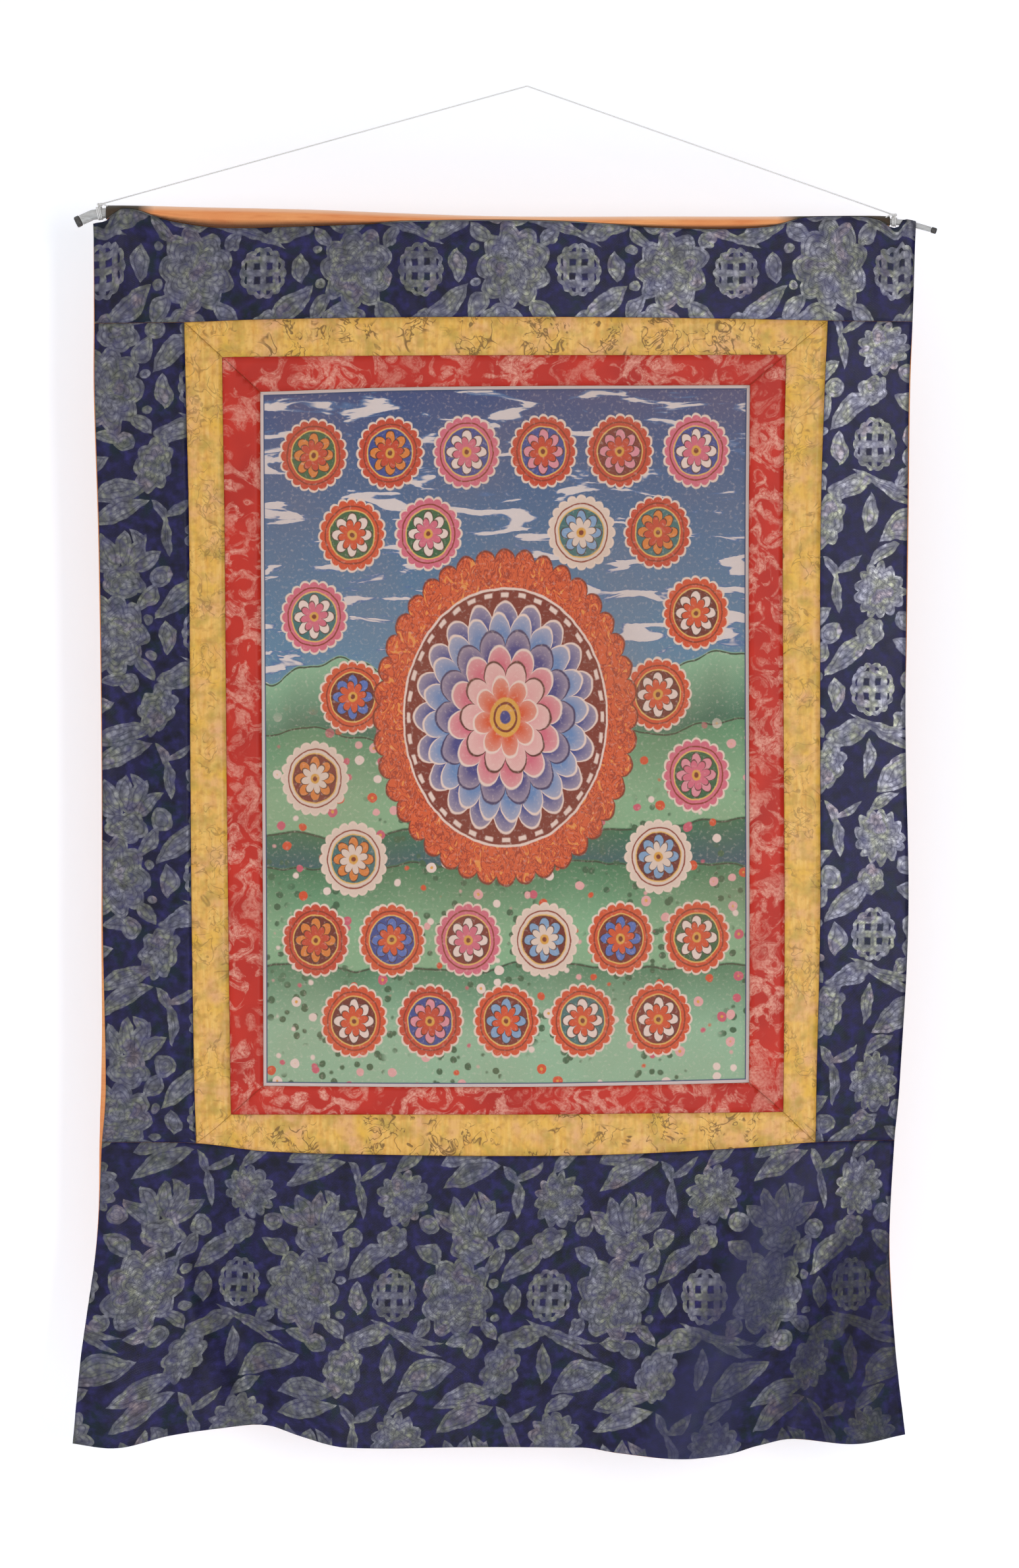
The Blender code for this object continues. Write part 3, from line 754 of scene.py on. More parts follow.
def map_pattern(cloth, start=(0.0, 0.0), turned=False):
    """The pattern's coordinates as a UV map, in metres from a start."""
    scale = -MM if turned else MM
    layer = cloth.loops.layers.uv.new("pattern")
    for face in cloth.faces:
        for loop in face.loops:
            place = loop.vert.co
            loop[layer].uv = ((place.x - start[0]) * scale, (place.y - start[1]) * scale)


def hung_piece(name, cloth, hang, thick, node):
    """Hang the cloth, thicken it and let it stand for its solid."""
    for vert in cloth.verts:
        vert.co = hang(vert.co.x, vert.co.y) * MM
    bmesh.ops.recalc_face_normals(cloth, faces=cloth.faces[:])
    piece = finished_piece(name, mesh_out_of(cloth, name))
    solid = piece.modifiers.new("thickness", "SOLIDIFY")
    solid.thickness = thick * MM
    solid.offset = 0.0
    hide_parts(node)
    return piece


def front_hang(panel):
    """The hanging of one front panel, with its own puckers."""
    def hang(across, down):
        here = middle_point(across, down)
        relief = slow_wave(here.x, -here.z) + pucker(across, down, panel)
        return hang_point(across, down, 1, relief)
    return hang


print(f"the brocade is {BROCADE_CLOTH} mm thick, and the lining {LINING_CLOTH} mm")

# %% The four brocade panels
BROCADE_PITCH = 4.2
MEDALLION_PLACES = {
    # where one medallion's middle lies on each panel's pattern, across and down
    "brocade_top": (-99.0, 44.0),
    "brocade_left": (-305.0, 149.0),
    "brocade_right": (330.0, 208.6),
    "brocade_foot": (-122.0, 1003.0),
}
TURNED_PANELS = ("brocade_top",)  # sewn in with the motifs upside down
BROCADE_CUTS = {
    "brocade_top": (UPRIGHTS[0], UPRIGHTS[7], LEVELS[0], LEVELS[1]),
    "brocade_left": (UPRIGHTS[0], UPRIGHTS[1], LEVELS[1], LEVELS[6]),
    "brocade_right": (UPRIGHTS[6], UPRIGHTS[7], LEVELS[1], LEVELS[6]),
    "brocade_foot": (UPRIGHTS[0], UPRIGHTS[7], LEVELS[6], LEVELS[7]),
}


def inside_seams(panel):
    """The panel less half a seam gap all round."""
    left, right, top, foot = panel
    gap = 0.5 * SEAM_GAP
    return left + gap, right - gap, top + gap, foot - gap


brocades = []
for node, panel in BROCADE_CUTS.items():
    cloth = flat_grid(*inside_seams(panel), BROCADE_PITCH)
    map_pattern(cloth, MEDALLION_PLACES[node], turned=node in TURNED_PANELS)
    piece = hung_piece(
        f"woven_{node}", cloth, front_hang(panel), BROCADE_CLOTH, node
    )
    brocades.append(piece)
print("brocade cells:", [len(piece.data.polygons) for piece in brocades])

# %% [markdown]
# ## Mitred borders
# A border is four strips that meet on the slant. A frame cut in one piece would
# waste the silk inside it, and its weave would run the wrong way on two sides.

# %% The mitred silk borders
SILK_PITCH = 6.0


def mitre(cloth, outer, inner, keep):
    """Cut a strip from its frame's outer to its inner corner."""
    start = Vector((*outer, 0.0))
    along = Vector((inner[0] - outer[0], inner[1] - outer[1], 0.0)).normalized()
    away = along.cross(Vector((0.0, 0.0, 1.0)))
    if (Vector((*keep, 0.0)) - start).dot(away) > 0.0:
        away = -away
    cut(cloth, start - away * 0.5 * SEAM_GAP, away_side=away)


def border_strips(outer, inner):
    """Each side's rectangle, its two mitred corners and a point to keep."""
    left, right, top, foot = outer
    in_left, in_right, in_top, in_foot = inner
    upper_left, lower_left = ((left, top), (in_left, in_top)), ((left, foot), (in_left, in_foot))
    upper_right = ((right, top), (in_right, in_top))
    lower_right = ((right, foot), (in_right, in_foot))
    middle = (0.5 * (left + right), 0.5 * (top + foot))
    return {
        "top": ((left, right, top, in_top), (upper_left, upper_right), (middle[0], top)),
        "foot": ((left, right, in_foot, foot), (lower_left, lower_right), (middle[0], foot)),
        "left": ((left, in_left, top, foot), (upper_left, lower_left), (left, middle[1])),
        "right": ((in_right, right, top, foot), (upper_right, lower_right), (right, middle[1])),
    }


YELLOW_FRAME = (UPRIGHTS[1], UPRIGHTS[6], LEVELS[1], LEVELS[6])
RED_FRAME = (UPRIGHTS[2], UPRIGHTS[5], LEVELS[2], LEVELS[5])
PAINTING_CUT = (UPRIGHTS[3], UPRIGHTS[4], LEVELS[3], LEVELS[4])

borders = {"yellow": [], "red": []}
for dyed, outer, inner in (("yellow", YELLOW_FRAME, RED_FRAME), ("red", RED_FRAME, PAINTING_CUT)):
    for side, (panel, corners, keep) in border_strips(outer, inner).items():
        cloth = flat_grid(*inside_seams(panel), SILK_PITCH)
        for corner in corners:
            mitre(cloth, *corner, keep)
        map_pattern(cloth)
        area = sum(face.calc_area() for face in cloth.faces) * MM * MM
        piece = hung_piece(
            f"mitred_{dyed}_{side}", cloth, front_hang(panel), SILK_CLOTH,
            f"{dyed}_{side}",
        )
        borders[dyed].append(piece)
for dyed, strips in borders.items():
    print(f"{dyed} border cells: {sum(len(strip.data.polygons) for strip in strips)}")

# %% [markdown]
# ## Canvas and lining
# The canvas fills the inner frame. The lining is one length of cotton as large
# as the whole scroll. It goes on over the cane and down to the brocade's edge,
# and that makes the sleeve. It is short of both ends, where the cord ties on.

# %% The canvas
CANVAS_PITCH = 8.0
cloth = flat_grid(*inside_seams(PAINTING_CUT), CANVAS_PITCH)
PAINTING_MIDDLE = (0.5 * (UPRIGHTS[3] + UPRIGHTS[4]), 0.5 * (LEVELS[3] + LEVELS[4]))
map_pattern(cloth, PAINTING_MIDDLE)
canvas = hung_piece(
    "painted_cotton", cloth, front_hang(PAINTING_CUT), CANVAS_CLOTH, "painting"
)
print(f"canvas cells: {len(canvas.data.polygons)}")

# %% The lining and its sleeve
LINING_PITCH = 9.0
SLEEVE_ROWS = 14


def hang_lining(across, down):
    if down < 0.0:
        return hang_sleeve(across, -down / SLEEVE_FLAT)
    here = middle_point(across, down)
    point = hang_point(across, down, -1, slow_wave(here.x, -here.z))
    point.x -= read_table(LINING_PEEK, down, 1) * ease((UPRIGHTS[1] - across) / BROCADE_SIDE)
    point.x += read_table(LINING_PEEK, down, 2) * ease((across - UPRIGHTS[6]) / BROCADE_SIDE)
    return point


lining_cut = (UPRIGHTS[0], UPRIGHTS[7], -SLEEVE_FLAT, LEVELS[7])
cloth = flat_grid(*lining_cut, LINING_PITCH)
for row in range(SLEEVE_ROWS):
    cut(cloth, (0.0, -SLEEVE_FLAT * row / SLEEVE_ROWS, 0.0), direction=(0.0, 1.0, 0.0))
for place in (SLEEVE_LEFT, NOTCH_LEFT):
    cut(cloth, (place, 0.0, 0.0), direction=(1.0, 0.0, 0.0))
bare = [
    face for face in cloth.faces
    if face.calc_center_median().y < 0.0
    and not SLEEVE_LEFT < face.calc_center_median().x < NOTCH_LEFT
]
bmesh.ops.delete(cloth, geom=bare, context="FACES")
map_pattern(cloth)
lining_area = sum(face.calc_area() for face in cloth.faces) * MM * MM
lining = hung_piece("sewn_lining", cloth, hang_lining, LINING_CLOTH, "lining")
print(f"lining cells: {len(lining.data.polygons)}")

# %% [markdown]
# ## Room and light
# The wall is white paper, a hand's breadth behind the cloth, so the scroll casts
# a soft shadow to its left. One tall lamp stands near the camera, and a wide
# soft light fills from the upper left. Seen from behind, the paper is clear, so
# that the back of the scroll shows too.

# %% Wall, floor and lamps
WALL_BACK, WALL_TOP = 160.0, 900.0
FLOOR_FRONT, FLOOR_DROP = 3200.0, 1620.0
ROOM_HALF = 2600.0
COVE, COVE_STEPS = 300.0, 12


def studio_sweep():
    """A floor that curves up into a wall, as photographers use."""
    sweep = bmesh.new()
    ends = [(x * MM, WALL_BACK * MM, WALL_TOP * MM) for x in (-ROOM_HALF, ROOM_HALF)]
    edge = sweep.edges.new([sweep.verts.new(end) for end in ends])
    wall = bmesh.ops.extrude_edge_only(sweep, edges=[edge])["geom"]
    verts = [g for g in wall if isinstance(g, bmesh.types.BMVert)]
    drop = COVE - FLOOR_DROP - WALL_TOP
    bmesh.ops.translate(sweep, verts=verts, vec=(0.0, 0.0, drop * MM))
    edge = [g for g in wall if isinstance(g, bmesh.types.BMEdge)]
    bent = bmesh.ops.spin(
        sweep, geom=edge + verts, angle=-pi / 2, steps=COVE_STEPS, axis=(1.0, 0.0, 0.0),
        cent=(0.0, (WALL_BACK - COVE) * MM, (COVE - FLOOR_DROP) * MM),
        use_merge=False, use_duplicate=False,
    )["geom_last"]
    edge = [g for g in bent if isinstance(g, bmesh.types.BMEdge)]
    floor = bmesh.ops.extrude_edge_only(sweep, edges=edge)["geom"]
    verts = [g for g in floor if isinstance(g, bmesh.types.BMVert)]
    run = COVE - WALL_BACK - FLOOR_FRONT
    bmesh.ops.translate(sweep, verts=verts, vec=(0.0, run * MM, 0.0))
    room = placed("studio_sweep", mesh_out_of(sweep, "studio_sweep"))
    room.data.shade_smooth()
    room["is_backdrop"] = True
    return room


room = studio_sweep()
paper, tree, surface = new_finish("white_backdrop_paper")
lit_paper = add(tree, "BsdfPrincipled", named={
    "Base Color": dye("#eceef6"), "Roughness": 0.9, "Specular IOR Level": 0.0,
    "Emission Color": dye("#ebfaf8"), "Emission Strength": 0.31,
})
back_face = add(tree, "NewGeometry", out=6)
see_through = add(tree, "BsdfTransparent")
shader = add(tree, "MixShader", back_face, lit_paper, see_through)
tree.links.new(shader, surface)
room.data.materials.append(paper)

KEY_FROM = Vector((1100.0, -4200.0, -450.0))
KEY_WATTS = 40.0
window = bpy.data.lights.new("key_window", "AREA")
window.shape = "RECTANGLE"
window.size, window.size_y = 0.4, 1.1
window.energy = KEY_WATTS
key_lamp = placed("key_window", window)
key_lamp.location = KEY_FROM * MM
key_lamp.rotation_euler = (VIEW_MIDDLE - KEY_FROM).to_track_quat("-Z", "Y").to_euler()

SOFT_SIDE = Vector((-0.55, -0.6, 0.58))
studio = bpy.data.worlds.new("studio")
bpy.context.scene.world = studio
studio.use_nodes = True
sky = studio.node_tree
direction = add(sky, "TexCoord")
lean = add(sky, "VectorMath", direction, tuple(SOFT_SIDE), out=1, operation="DOT_PRODUCT")
glow = add(sky, "MapRange", lean, -0.3, 1.0, 0.03, 1.05, interpolation_type="SMOOTHSTEP")
backdrop = sky.nodes["Background"]
backdrop.inputs["Color"].default_value = (0.96, 0.97, 1.0, 1.0)
sky.links.new(glow, backdrop.inputs["Strength"])
print(f"the wall is {WALL_BACK:.0f} mm behind the nail, and the floor {FLOOR_DROP:.0f} mm below it")

# %% [markdown]
# ## Cloth coordinates
# Every cloth carries its place on the flat pattern as a UV map, in metres. All
# the woven and painted patterns below read it in millimetres, so a motif that
# is 148 mm from the next one in the cloth is 148 mm from it here, too.

# %% Helpers for cloth patterns
ACROSS, DOWN, UP = (1.0, 0.0, 0.0), (0.0, 1.0, 0.0), (0.0, 0.0, 1.0)
HALF = (0.5, 0.5, 0.5)


def on_cloth(tree):
    """A point's place on the flat cloth, in millimetres."""
    place = add(tree, "UVMap", uv_map="pattern")
    return add(tree, "VectorMath", place, named={"Scale": 1000.0}, operation="SCALE")


def soft_below(tree, value, limit, blur):
    """1 where the value is under a limit, and 0 over it."""
    return add(
        tree, "MapRange", value, limit + blur, limit - blur, interpolation_type="SMOOTHSTEP"
    )


def soft_from(tree, value, start, end):
    """0 up to a start, and 1 from an end on."""
    return add(tree, "MapRange", value, start, end, interpolation_type="SMOOTHSTEP")


def all_of(tree, *shares):
    """1 only where every one of the shares is 1."""
    return reduce(lambda a, b: add(tree, "Math", a, b, operation="MULTIPLY"), shares)


def any_of(tree, *shares):
    """1 where at least one of the shares is 1."""
    return reduce(lambda a, b: add(tree, "Math", a, b, operation="MAXIMUM"), shares)


def away_from(tree, value, middle=0.0):
    """How far a value lies from a middle one, on either side."""
    off = add(tree, "Math", value, middle, operation="SUBTRACT")
    return add(tree, "Math", off, operation="ABSOLUTE")


def over(tree, under, share, dyed):
    """Lay a dye or a paint over another, where the share is 1."""
    under, dyed = (dye(color) if isinstance(color, str) else color for color in (under, dyed))
    return add(tree, "Mix", named={0: share, 6: under, 7: dyed}, out=2, data_type="RGBA")


def along(tree, vector, *axes):
    """How far a vector goes along each axis; with none given, across and down.

    Dot products do it. A Separate XYZ holds a third value that nothing reads,
    and a material of hundreds of nodes runs out of room for them.
    """
    return [
        add(tree, "VectorMath", vector, axis, out=1, operation="DOT_PRODUCT")
        for axis in axes or (ACROSS, DOWN)
    ]


def round_about(tree, local):
    """How far out from its middle a place lies, and at what bearing."""
    x, y = along(tree, local)
    out = add(tree, "VectorMath", local, out=1, operation="LENGTH")
    return out, add(tree, "Math", y, x, operation="ARCTAN2")


def lobes(tree, bearing, count, phase=0.0):
    """1 at the middle of each of several lobes, and 0 between them."""
    turns = add(tree, "Math", bearing, 0.5 * count, phase, operation="MULTIPLY_ADD")
    return add(tree, "Math", add(tree, "Math", turns, operation="COSINE"), operation="ABSOLUTE")


def patches(tree, place, size, detail=2.0, seed=0.0, distortion=0.0):
    """Soft noise from 0 to 1 whose patches are about a size across."""
    moved = add(tree, "VectorMath", place, (seed, 0.37 * seed, 0.0), operation="ADD")
    settings = {"Scale": 1.0 / size, "Detail": detail, "Distortion": distortion}
    return add(tree, "TexNoise", moved, named=settings)


def drifted(tree, place, unevenness, reach):
    """A place moved to any side, by the colour of a soft noise."""
    aside = add(tree, "VectorMath", unevenness.node.outputs[1], HALF, operation="SUBTRACT")
    return add(tree, "VectorMath", aside, (reach, reach, 0.0), place, operation="MULTIPLY_ADD")


def ribs(tree, place, pitch_across, pitch_down):
    """The threads of a cloth as a height from -1 to 1."""
    turns = (tau / pitch_across, tau / pitch_down, 0.0)
    turning = add(tree, "VectorMath", place, turns, operation="MULTIPLY")
    warp, weft = (add(tree, "Math", axis, operation="SINE") for axis in along(tree, turning))
    return add(tree, "Math", warp, weft, operation="MULTIPLY")


def coat(tree, surface, color, rough, relief, strength, rise, **sockets):
    """One shader over a colour, with a relief that rises a few tenths of a mm."""
    bump = add(tree, "Bump", named={"Strength": strength, "Distance": rise * MM, "Height": relief})
    extra = {name.replace("_", " "): value for name, value in sockets.items()}
    shader = add(tree, "BsdfPrincipled", named={
        "Base Color": color, "Roughness": rough, "Normal": bump, **extra,
    })
    tree.links.new(shader, surface)


def dress(pieces, finish):
    """Give pieces a finish, and nothing else."""
    for piece in pieces:
        piece.data.materials.clear()
        piece.data.materials.append(finish)
    print(f"{finish.name}: {len(finish.node_tree.nodes)} nodes on {len(pieces)} pieces")


# %% [markdown]
# ## Navy brocade
# The mount is silk brocade: a dark indigo satin ground, with motifs woven in
# grey metal-wrapped thread. The repeat is 148 by 231 mm: a round lattice
# medallion, a peony with its leaves, a gourd, beads, ribbons and long leaves.
# An image would hold this easily. Here each motif is a shape of its own, a
# petalled round or a leaf, repeated by wrapping the cloth's coordinates round
# its middle. The highest of all shapes is kept as one relief in millimetres,
# and lines at set heights in it draw the tiers of petals and the leaf rims.

# %% The motifs of the brocade
REPEAT = (148.0, 231.0)
PEONIES = (
    # across and down from the medallion, half width, half height, turn, petals
    (61.0, 2.0, 34.0, 39.0, 0.0, 9),
    (72.0, -48.0, 20.0, 15.0, 10.0, 5),
    (6.0, -92.0, 24.0, 26.0, 0.0, 13),
    (-3.0, -52.0, 15.0, 12.0, -35.0, 6),
    (-45.0, 72.0, 17.0, 25.0, 22.0, 9),
    (-24.0, 41.0, 21.0, 9.5, -18.0, 5),
)
BEADS = (
    # across, down, radius
    (-41.0, -54.0, 8.6),
    (31.0, -65.0, 7.8),
    (-72.0, 49.0, 8.8),
    (-52.0, -12.0, 3.4),
    (27.0, 27.0, 3.6),
    (-50.0, 21.0, 3.0),
)
LEAVES = (
    # across, down, half length, half width, turn, bend
    (-24.0, -33.0, 28.0, 8.5, -41.0, 0.25),
    (-34.0, -92.0, 17.0, 3.6, 83.0, 0.3),
    (-41.0, -115.0, 11.0, 3.2, 61.0, 0.4),
    (-24.0, -117.0, 14.0, 3.0, -32.0, -0.5),
    (-79.0, -115.0, 28.0, 8.5, -25.0, 0.35),
    (12.0, 37.0, 31.0, 3.4, 17.0, -0.9),
    (19.0, 45.0, 26.0, 2.8, 30.0, -0.7),
    (-4.0, 65.0, 17.0, 5.2, 96.0, 0.3),
    (-78.0, 97.0, 28.0, 9.0, -17.0, 0.3),
    (31.0, 78.0, 30.0, 13.0, -24.0, 0.45),
    (-35.0, 4.0, 14.5, 7.0, 88.0, 0.2),
    (34.0, -38.0, 14.0, 7.0, 38.0, 0.3),
    (95.0, -34.0, 15.0, 7.0, 122.0, 0.3),
    (28.0, 30.0, 11.0, 5.0, 130.0, 0.3),
    (92.0, 34.0, 12.0, 5.5, 45.0, 0.3),
    (62.0, 46.0, 12.0, 5.5, 5.0, 0.4),
    (-62.0, -86.0, 13.0, 4.5, 60.0, 0.4),
    (10.0, 104.0, 15.0, 5.0, -35.0, 0.4),
)
FAN_FOOT, FAN_REACH = (72.0, -50.0), 29.0
FAN_LEAVES = tuple(
    # a fan of long petals that stands on the peony
    (FAN_FOOT[0] + FAN_REACH * cos(turn), FAN_FOOT[1] - FAN_REACH * sin(turn),
     17.0, 6.5, -turn * 180 / pi, 0.15)
    for turn in (0.22 * pi, 0.36 * pi, 0.5 * pi, 0.64 * pi, 0.78 * pi)
)
MEDALLION = (22.0, 26.0)
RING = (0.90, 0.085)  # the ring's middle and half its width, as a share
RING_SCALLOPS = 14
BAR_PITCH = 0.26


def about(tree, place, across, down, size, turn):
    """The cloth as one repeated motif sees it: its middle at 0, its rim at 1."""
    away = add(tree, "VectorMath", place, (across, down, 0.0), operation="SUBTRACT")
    half = (0.5 * REPEAT[0], 0.5 * REPEAT[1], 1.0)
    near = add(tree, "VectorMath", away, half, tuple(-h for h in half), operation="WRAP")
    return add(
        tree, "Mapping", near, None, (0.0, 0.0, turn * pi / 180), (*size, 1.0),
        vector_type="TEXTURE",
    )


def petalled_round(tree, local, petals, scallop):
    """The distance over a round whose rim is scalloped by its petals."""
    out, bearing = round_about(tree, local)
    lobe = lobes(tree, bearing, petals)
    edge = add(tree, "Math", out, scallop, operation="ADD")
    return add(tree, "Math", lobe, -scallop, edge, operation="MULTIPLY_ADD")


def bent_leaf(tree, local, bend):
    """The distance over a leaf with two pointed ends and a bent midrib."""
    lengthwise, beside = along(tree, local)
    square = add(tree, "Math", lengthwise, lengthwise, operation="MULTIPLY")
    beside = add(tree, "Math", square, -bend, beside, operation="MULTIPLY_ADD")
    return add(tree, "Math", square, away_from(tree, beside, -0.5 * bend), operation="ADD")


def raise_motif(tree, relief, distance, reach):
    """Add a motif to the relief, which is in millimetres above its rim."""
    own = add(tree, "Math", distance, -reach, reach, operation="MULTIPLY_ADD")
    return own if relief is None else any_of(tree, relief, own)


def woven_relief(tree, place):
    """All the motifs but the medallion, as one relief."""
    relief = None
    for across, down, half_width, half_height, turn, petals in PEONIES:
        local = about(tree, place, across, down, (half_width, half_height), turn)
        distance = petalled_round(tree, local, petals, 0.2)
        relief = raise_motif(tree, relief, distance, min(half_width, half_height))
    for across, down, radius in BEADS:
        local = about(tree, place, across, down, (radius, radius), 0.0)
        distance = add(tree, "VectorMath", local, out=1, operation="LENGTH")
        relief = raise_motif(tree, relief, distance, radius)
    for across, down, half_length, half_width, turn, bend in LEAVES + FAN_LEAVES:
        local = about(tree, place, across, down, (half_length, half_width), turn)
        relief = raise_motif(tree, relief, bent_leaf(tree, local, bend), half_width)
    return relief


def medallion(tree, place):
    """A scalloped ring round a lattice of crossing bars."""
    local = about(tree, place, 0.0, 0.0, MEDALLION, 0.0)
    out = petalled_round(tree, local, RING_SCALLOPS, 0.08)
    rim = add(tree, "Math", out, *RING, operation="COMPARE")
    bars = []
    for axis in along(tree, local):
        swing = add(tree, "Math", axis, BAR_PITCH, operation="ADD")
        swing = add(tree, "Math", swing, BAR_PITCH, operation="PINGPONG")
        bars.append(soft_from(tree, swing, 0.10, 0.16))
    lattice = all_of(tree, any_of(tree, *bars), soft_below(tree, out, 0.81, 0.02))
    return any_of(tree, rim, lattice)


print(f"one repeat: {REPEAT[0]:.0f} x {REPEAT[1]:.0f} mm, {len(PEONIES)} peonies")

# %% Silk brocade, satin ground with metal-wrapped weft
TIER_HEIGHT = 5.5
RIM_LINE = 2.3
MOTIF_SPREAD = 1.3
SPECK = 4.6
WARP_PITCH, RIB_PITCH = 3.0, 1.5
WORN_PATCH, RUBBED_PATCH, DARK_PATCH, METAL_PATCH, TEAL_PATCH = 9.0, 12.0, 16.0, 26.0, 30.0
DRIFT_LENGTH, DRIFT, JITTER = 30.0, 11.0, 3.2
CREST_SQUARE, CREST_AT = (0.922, 0.0, -0.387), 0.630  # square to the fold, metres

brocade_finish, tree, surface = new_finish("silk_brocade_woven_with_metal_thread")
place = on_cloth(tree)
worn = patches(tree, place, WORN_PATCH, 2.0, 31.0)
jittered = drifted(tree, place, worn, JITTER)
drawn = drifted(tree, jittered, patches(tree, place, DRIFT_LENGTH, 1.0, 64.0), DRIFT)
relief = woven_relief(tree, drawn)
body = soft_below(tree, relief, -MOTIF_SPREAD, -0.5)
tier = add(tree, "Math", relief, RIM_LINE, operation="SUBTRACT")
tier = add(tree, "Math", tier, 0.5 * TIER_HEIGHT, operation="PINGPONG")
tier_line = soft_below(tree, tier, 0.6, 0.4)
full_thread = add(tree, "Math", tier_line, -0.42, 1.0, operation="MULTIPLY_ADD")
motifs = any_of(tree, all_of(tree, body, full_thread), medallion(tree, jittered))
print(f"motifs: {len(tree.nodes)} nodes")

# %% [markdown]
# ## Metal thread, its wear, and painted light and shade
# The thread is gilt or silvered strip wound on silk. Its specks are partly its
# own mottle and partly painted glints. It rubs off in worn patches and turns
# grey, olive or rosy with age. Light and shade are painted into thread and
# ground by place: painted shade dulls the thread on the top of the broad fold's
# ridge at the foot, past that ridge, at the top left and towards the foot; a
# painted sheen lightens the ground on the ridge's top; and painted light
# brightens the ridge's flanks and the right side.

# %% Thread, ground, painted light and shade, and light relief
# The thread's specks: its own mottle, and partly painted glints.
specks = add(
    tree, "TexVoronoi", drawn, named={"Scale": 1.0 / SPECK, "Randomness": 0.9}, feature="F1",
)
round_speck = add(
    tree, "MapRange", specks, 0.18, 0.72, 1.0, 0.5, interpolation_type="SMOOTHSTEP",
)
[own_tone] = along(tree, specks.node.outputs[1], (0.42, 0.0, 0.0))
mottle_and_painted_glint = all_of(tree, round_speck, add(tree, "Math", own_tone, 0.66, operation="ADD"))
rubbed = patches(tree, place, RUBBED_PATCH, 3.0, 77.0)
rubbed = add(tree, "MapRange", rubbed, 0.34, 0.62, 0.58, 1.12)
thread = all_of(tree, motifs, mottle_and_painted_glint, rubbed)

metal_dye = add(tree, "ValToRGB", patches(tree, place, METAL_PATCH, 2.0, 12.0))
ramp = metal_dye.node.color_ramp
for i, (at, code) in enumerate((
    (0.30, "#7e7e8c"), (0.42, "#828189"), (0.50, "#858584"), (0.56, "#868775"),
    (0.61, "#86828a"), (0.72, "#897b7d"),
)):
    stop = ramp.elements[i] if i < 2 else ramp.elements.new(at)
    stop.position, stop.color = at, dye(code)

hung_at = add(tree, "TexCoord", out=3)
to_right, height_up, across_crest = along(tree, hung_at, ACROSS, UP, CREST_SQUARE)
crest_width = add(tree, "MapRange", height_up, -1.0, -1.29, 0.020, 0.036)
aside = add(
    tree, "Math", away_from(tree, across_crest, CREST_AT), crest_width, operation="DIVIDE",
)
low = soft_from(tree, height_up, -0.99, -1.06)
# Painted shade and sheen on the top of the broad fold's ridge: its thread is dimmed and its ground
# lightened to slate.
painted_crest_shade_and_sheen = all_of(tree, low, soft_from(tree, aside, 1.35, 0.75))
# Painted light on the thread along both flanks of the broad fold's ridge.
painted_light_flanks = all_of(
    tree, low, soft_from(tree, aside, 1.15, 1.5), soft_from(tree, aside, 2.5, 1.8),
)
# Painted shade on the thread below and to the right of the broad fold's ridge.
painted_shade_past_crest = all_of(
    tree, soft_from(tree, across_crest, CREST_AT + 0.040, CREST_AT + 0.065),
    soft_from(tree, height_up, -1.05, -1.10),
)
# Painted light on the right side, on its thread and on its ground.
painted_light_right = all_of(
    tree, soft_from(tree, to_right, -0.10, 0.04), soft_from(tree, height_up, -0.92, -0.70),
    add(tree, "MapRange", height_up, -0.17, -0.25, 0.25, 1.0),
)
# Painted shade on the thread at the top left.
painted_shade_top_left = all_of(
    tree, soft_from(tree, to_right, -0.06, -0.14), soft_from(tree, height_up, -0.18, -0.12),
)
# Painted shade on the thread towards the foot, then each region's painted light or shade, as a
# scale on the thread's dye.
painted_thread_light = add(tree, "MapRange", height_up, -1.0, -0.9, 0.90, 0.97)
for where, more in (
    (painted_light_right, 0.86), (painted_shade_top_left, -0.16), (painted_shade_past_crest, -0.52), (painted_light_flanks, 0.38),
):
    painted_thread_light = add(tree, "Math", where, more, painted_thread_light, operation="MULTIPLY_ADD")
metal_dye = add(tree, "VectorMath", metal_dye, named={"Scale": painted_thread_light}, operation="SCALE")
# Painted shade: the thread fades into the ground along the ridge's top.
thread_dimmed_on_crest = add(tree, "Math", painted_crest_shade_and_sheen, -0.58, 1.0, operation="MULTIPLY_ADD")
thread = all_of(tree, thread, thread_dimmed_on_crest)

teal = add(tree, "MapRange", patches(tree, place, TEAL_PATCH, 2.0, 5.0), 0.52, 0.62)
ground = over(tree, "#1a1739", teal, "#101d2b")
lifted = add(tree, "MapRange", worn, 0.45, 0.75, 0.0, 0.85)
ground = over(tree, ground, lifted, "#2d2860")
darkened = patches(tree, place, DARK_PATCH, 3.0, 43.0)
darkened = add(tree, "MapRange", darkened, 0.46, 0.68, 0.0, 0.75)
ground = over(tree, ground, darkened, "#07070f")
# Painted light on the right side's ground, and a painted sheen on the ridge's top.
for where, share, lit in ((painted_light_right, 0.22, "#45445f"), (painted_crest_shade_and_sheen, 0.62, "#29294a")):
    ground = over(tree, ground, all_of(tree, where, share), lit)
color = over(tree, ground, thread, metal_dye)
weave = ribs(tree, place, WARP_PITCH, RIB_PITCH)
height = add(tree, "Math", weave, 0.16, worn, operation="MULTIPLY_ADD")
coat(
    tree, surface, color, add(tree, "MapRange", worn, 0.3, 0.7, 0.34, 0.52), height, 0.7, 0.5,
    Metallic=all_of(tree, thread, 0.85), Specular_IOR_Level=0.2,
    Sheen_Weight=0.03, Sheen_Roughness=0.4,
)
dress(brocades, brocade_finish)

# %% [markdown]
# ## Yellow silk
# The outer border is a thin yellow satin with a sparse figure of olive-brown
# branches. Satin shows long soft streaks along its warp. The branches are thin
# lines where a noise crosses its middle value, kept only in patches, as a
# printed or woven twig is.

# %% Yellow satin with a twig figure
SILK_THREADS = (1.6, 1.4)  # far coarser than real silk, which would not show

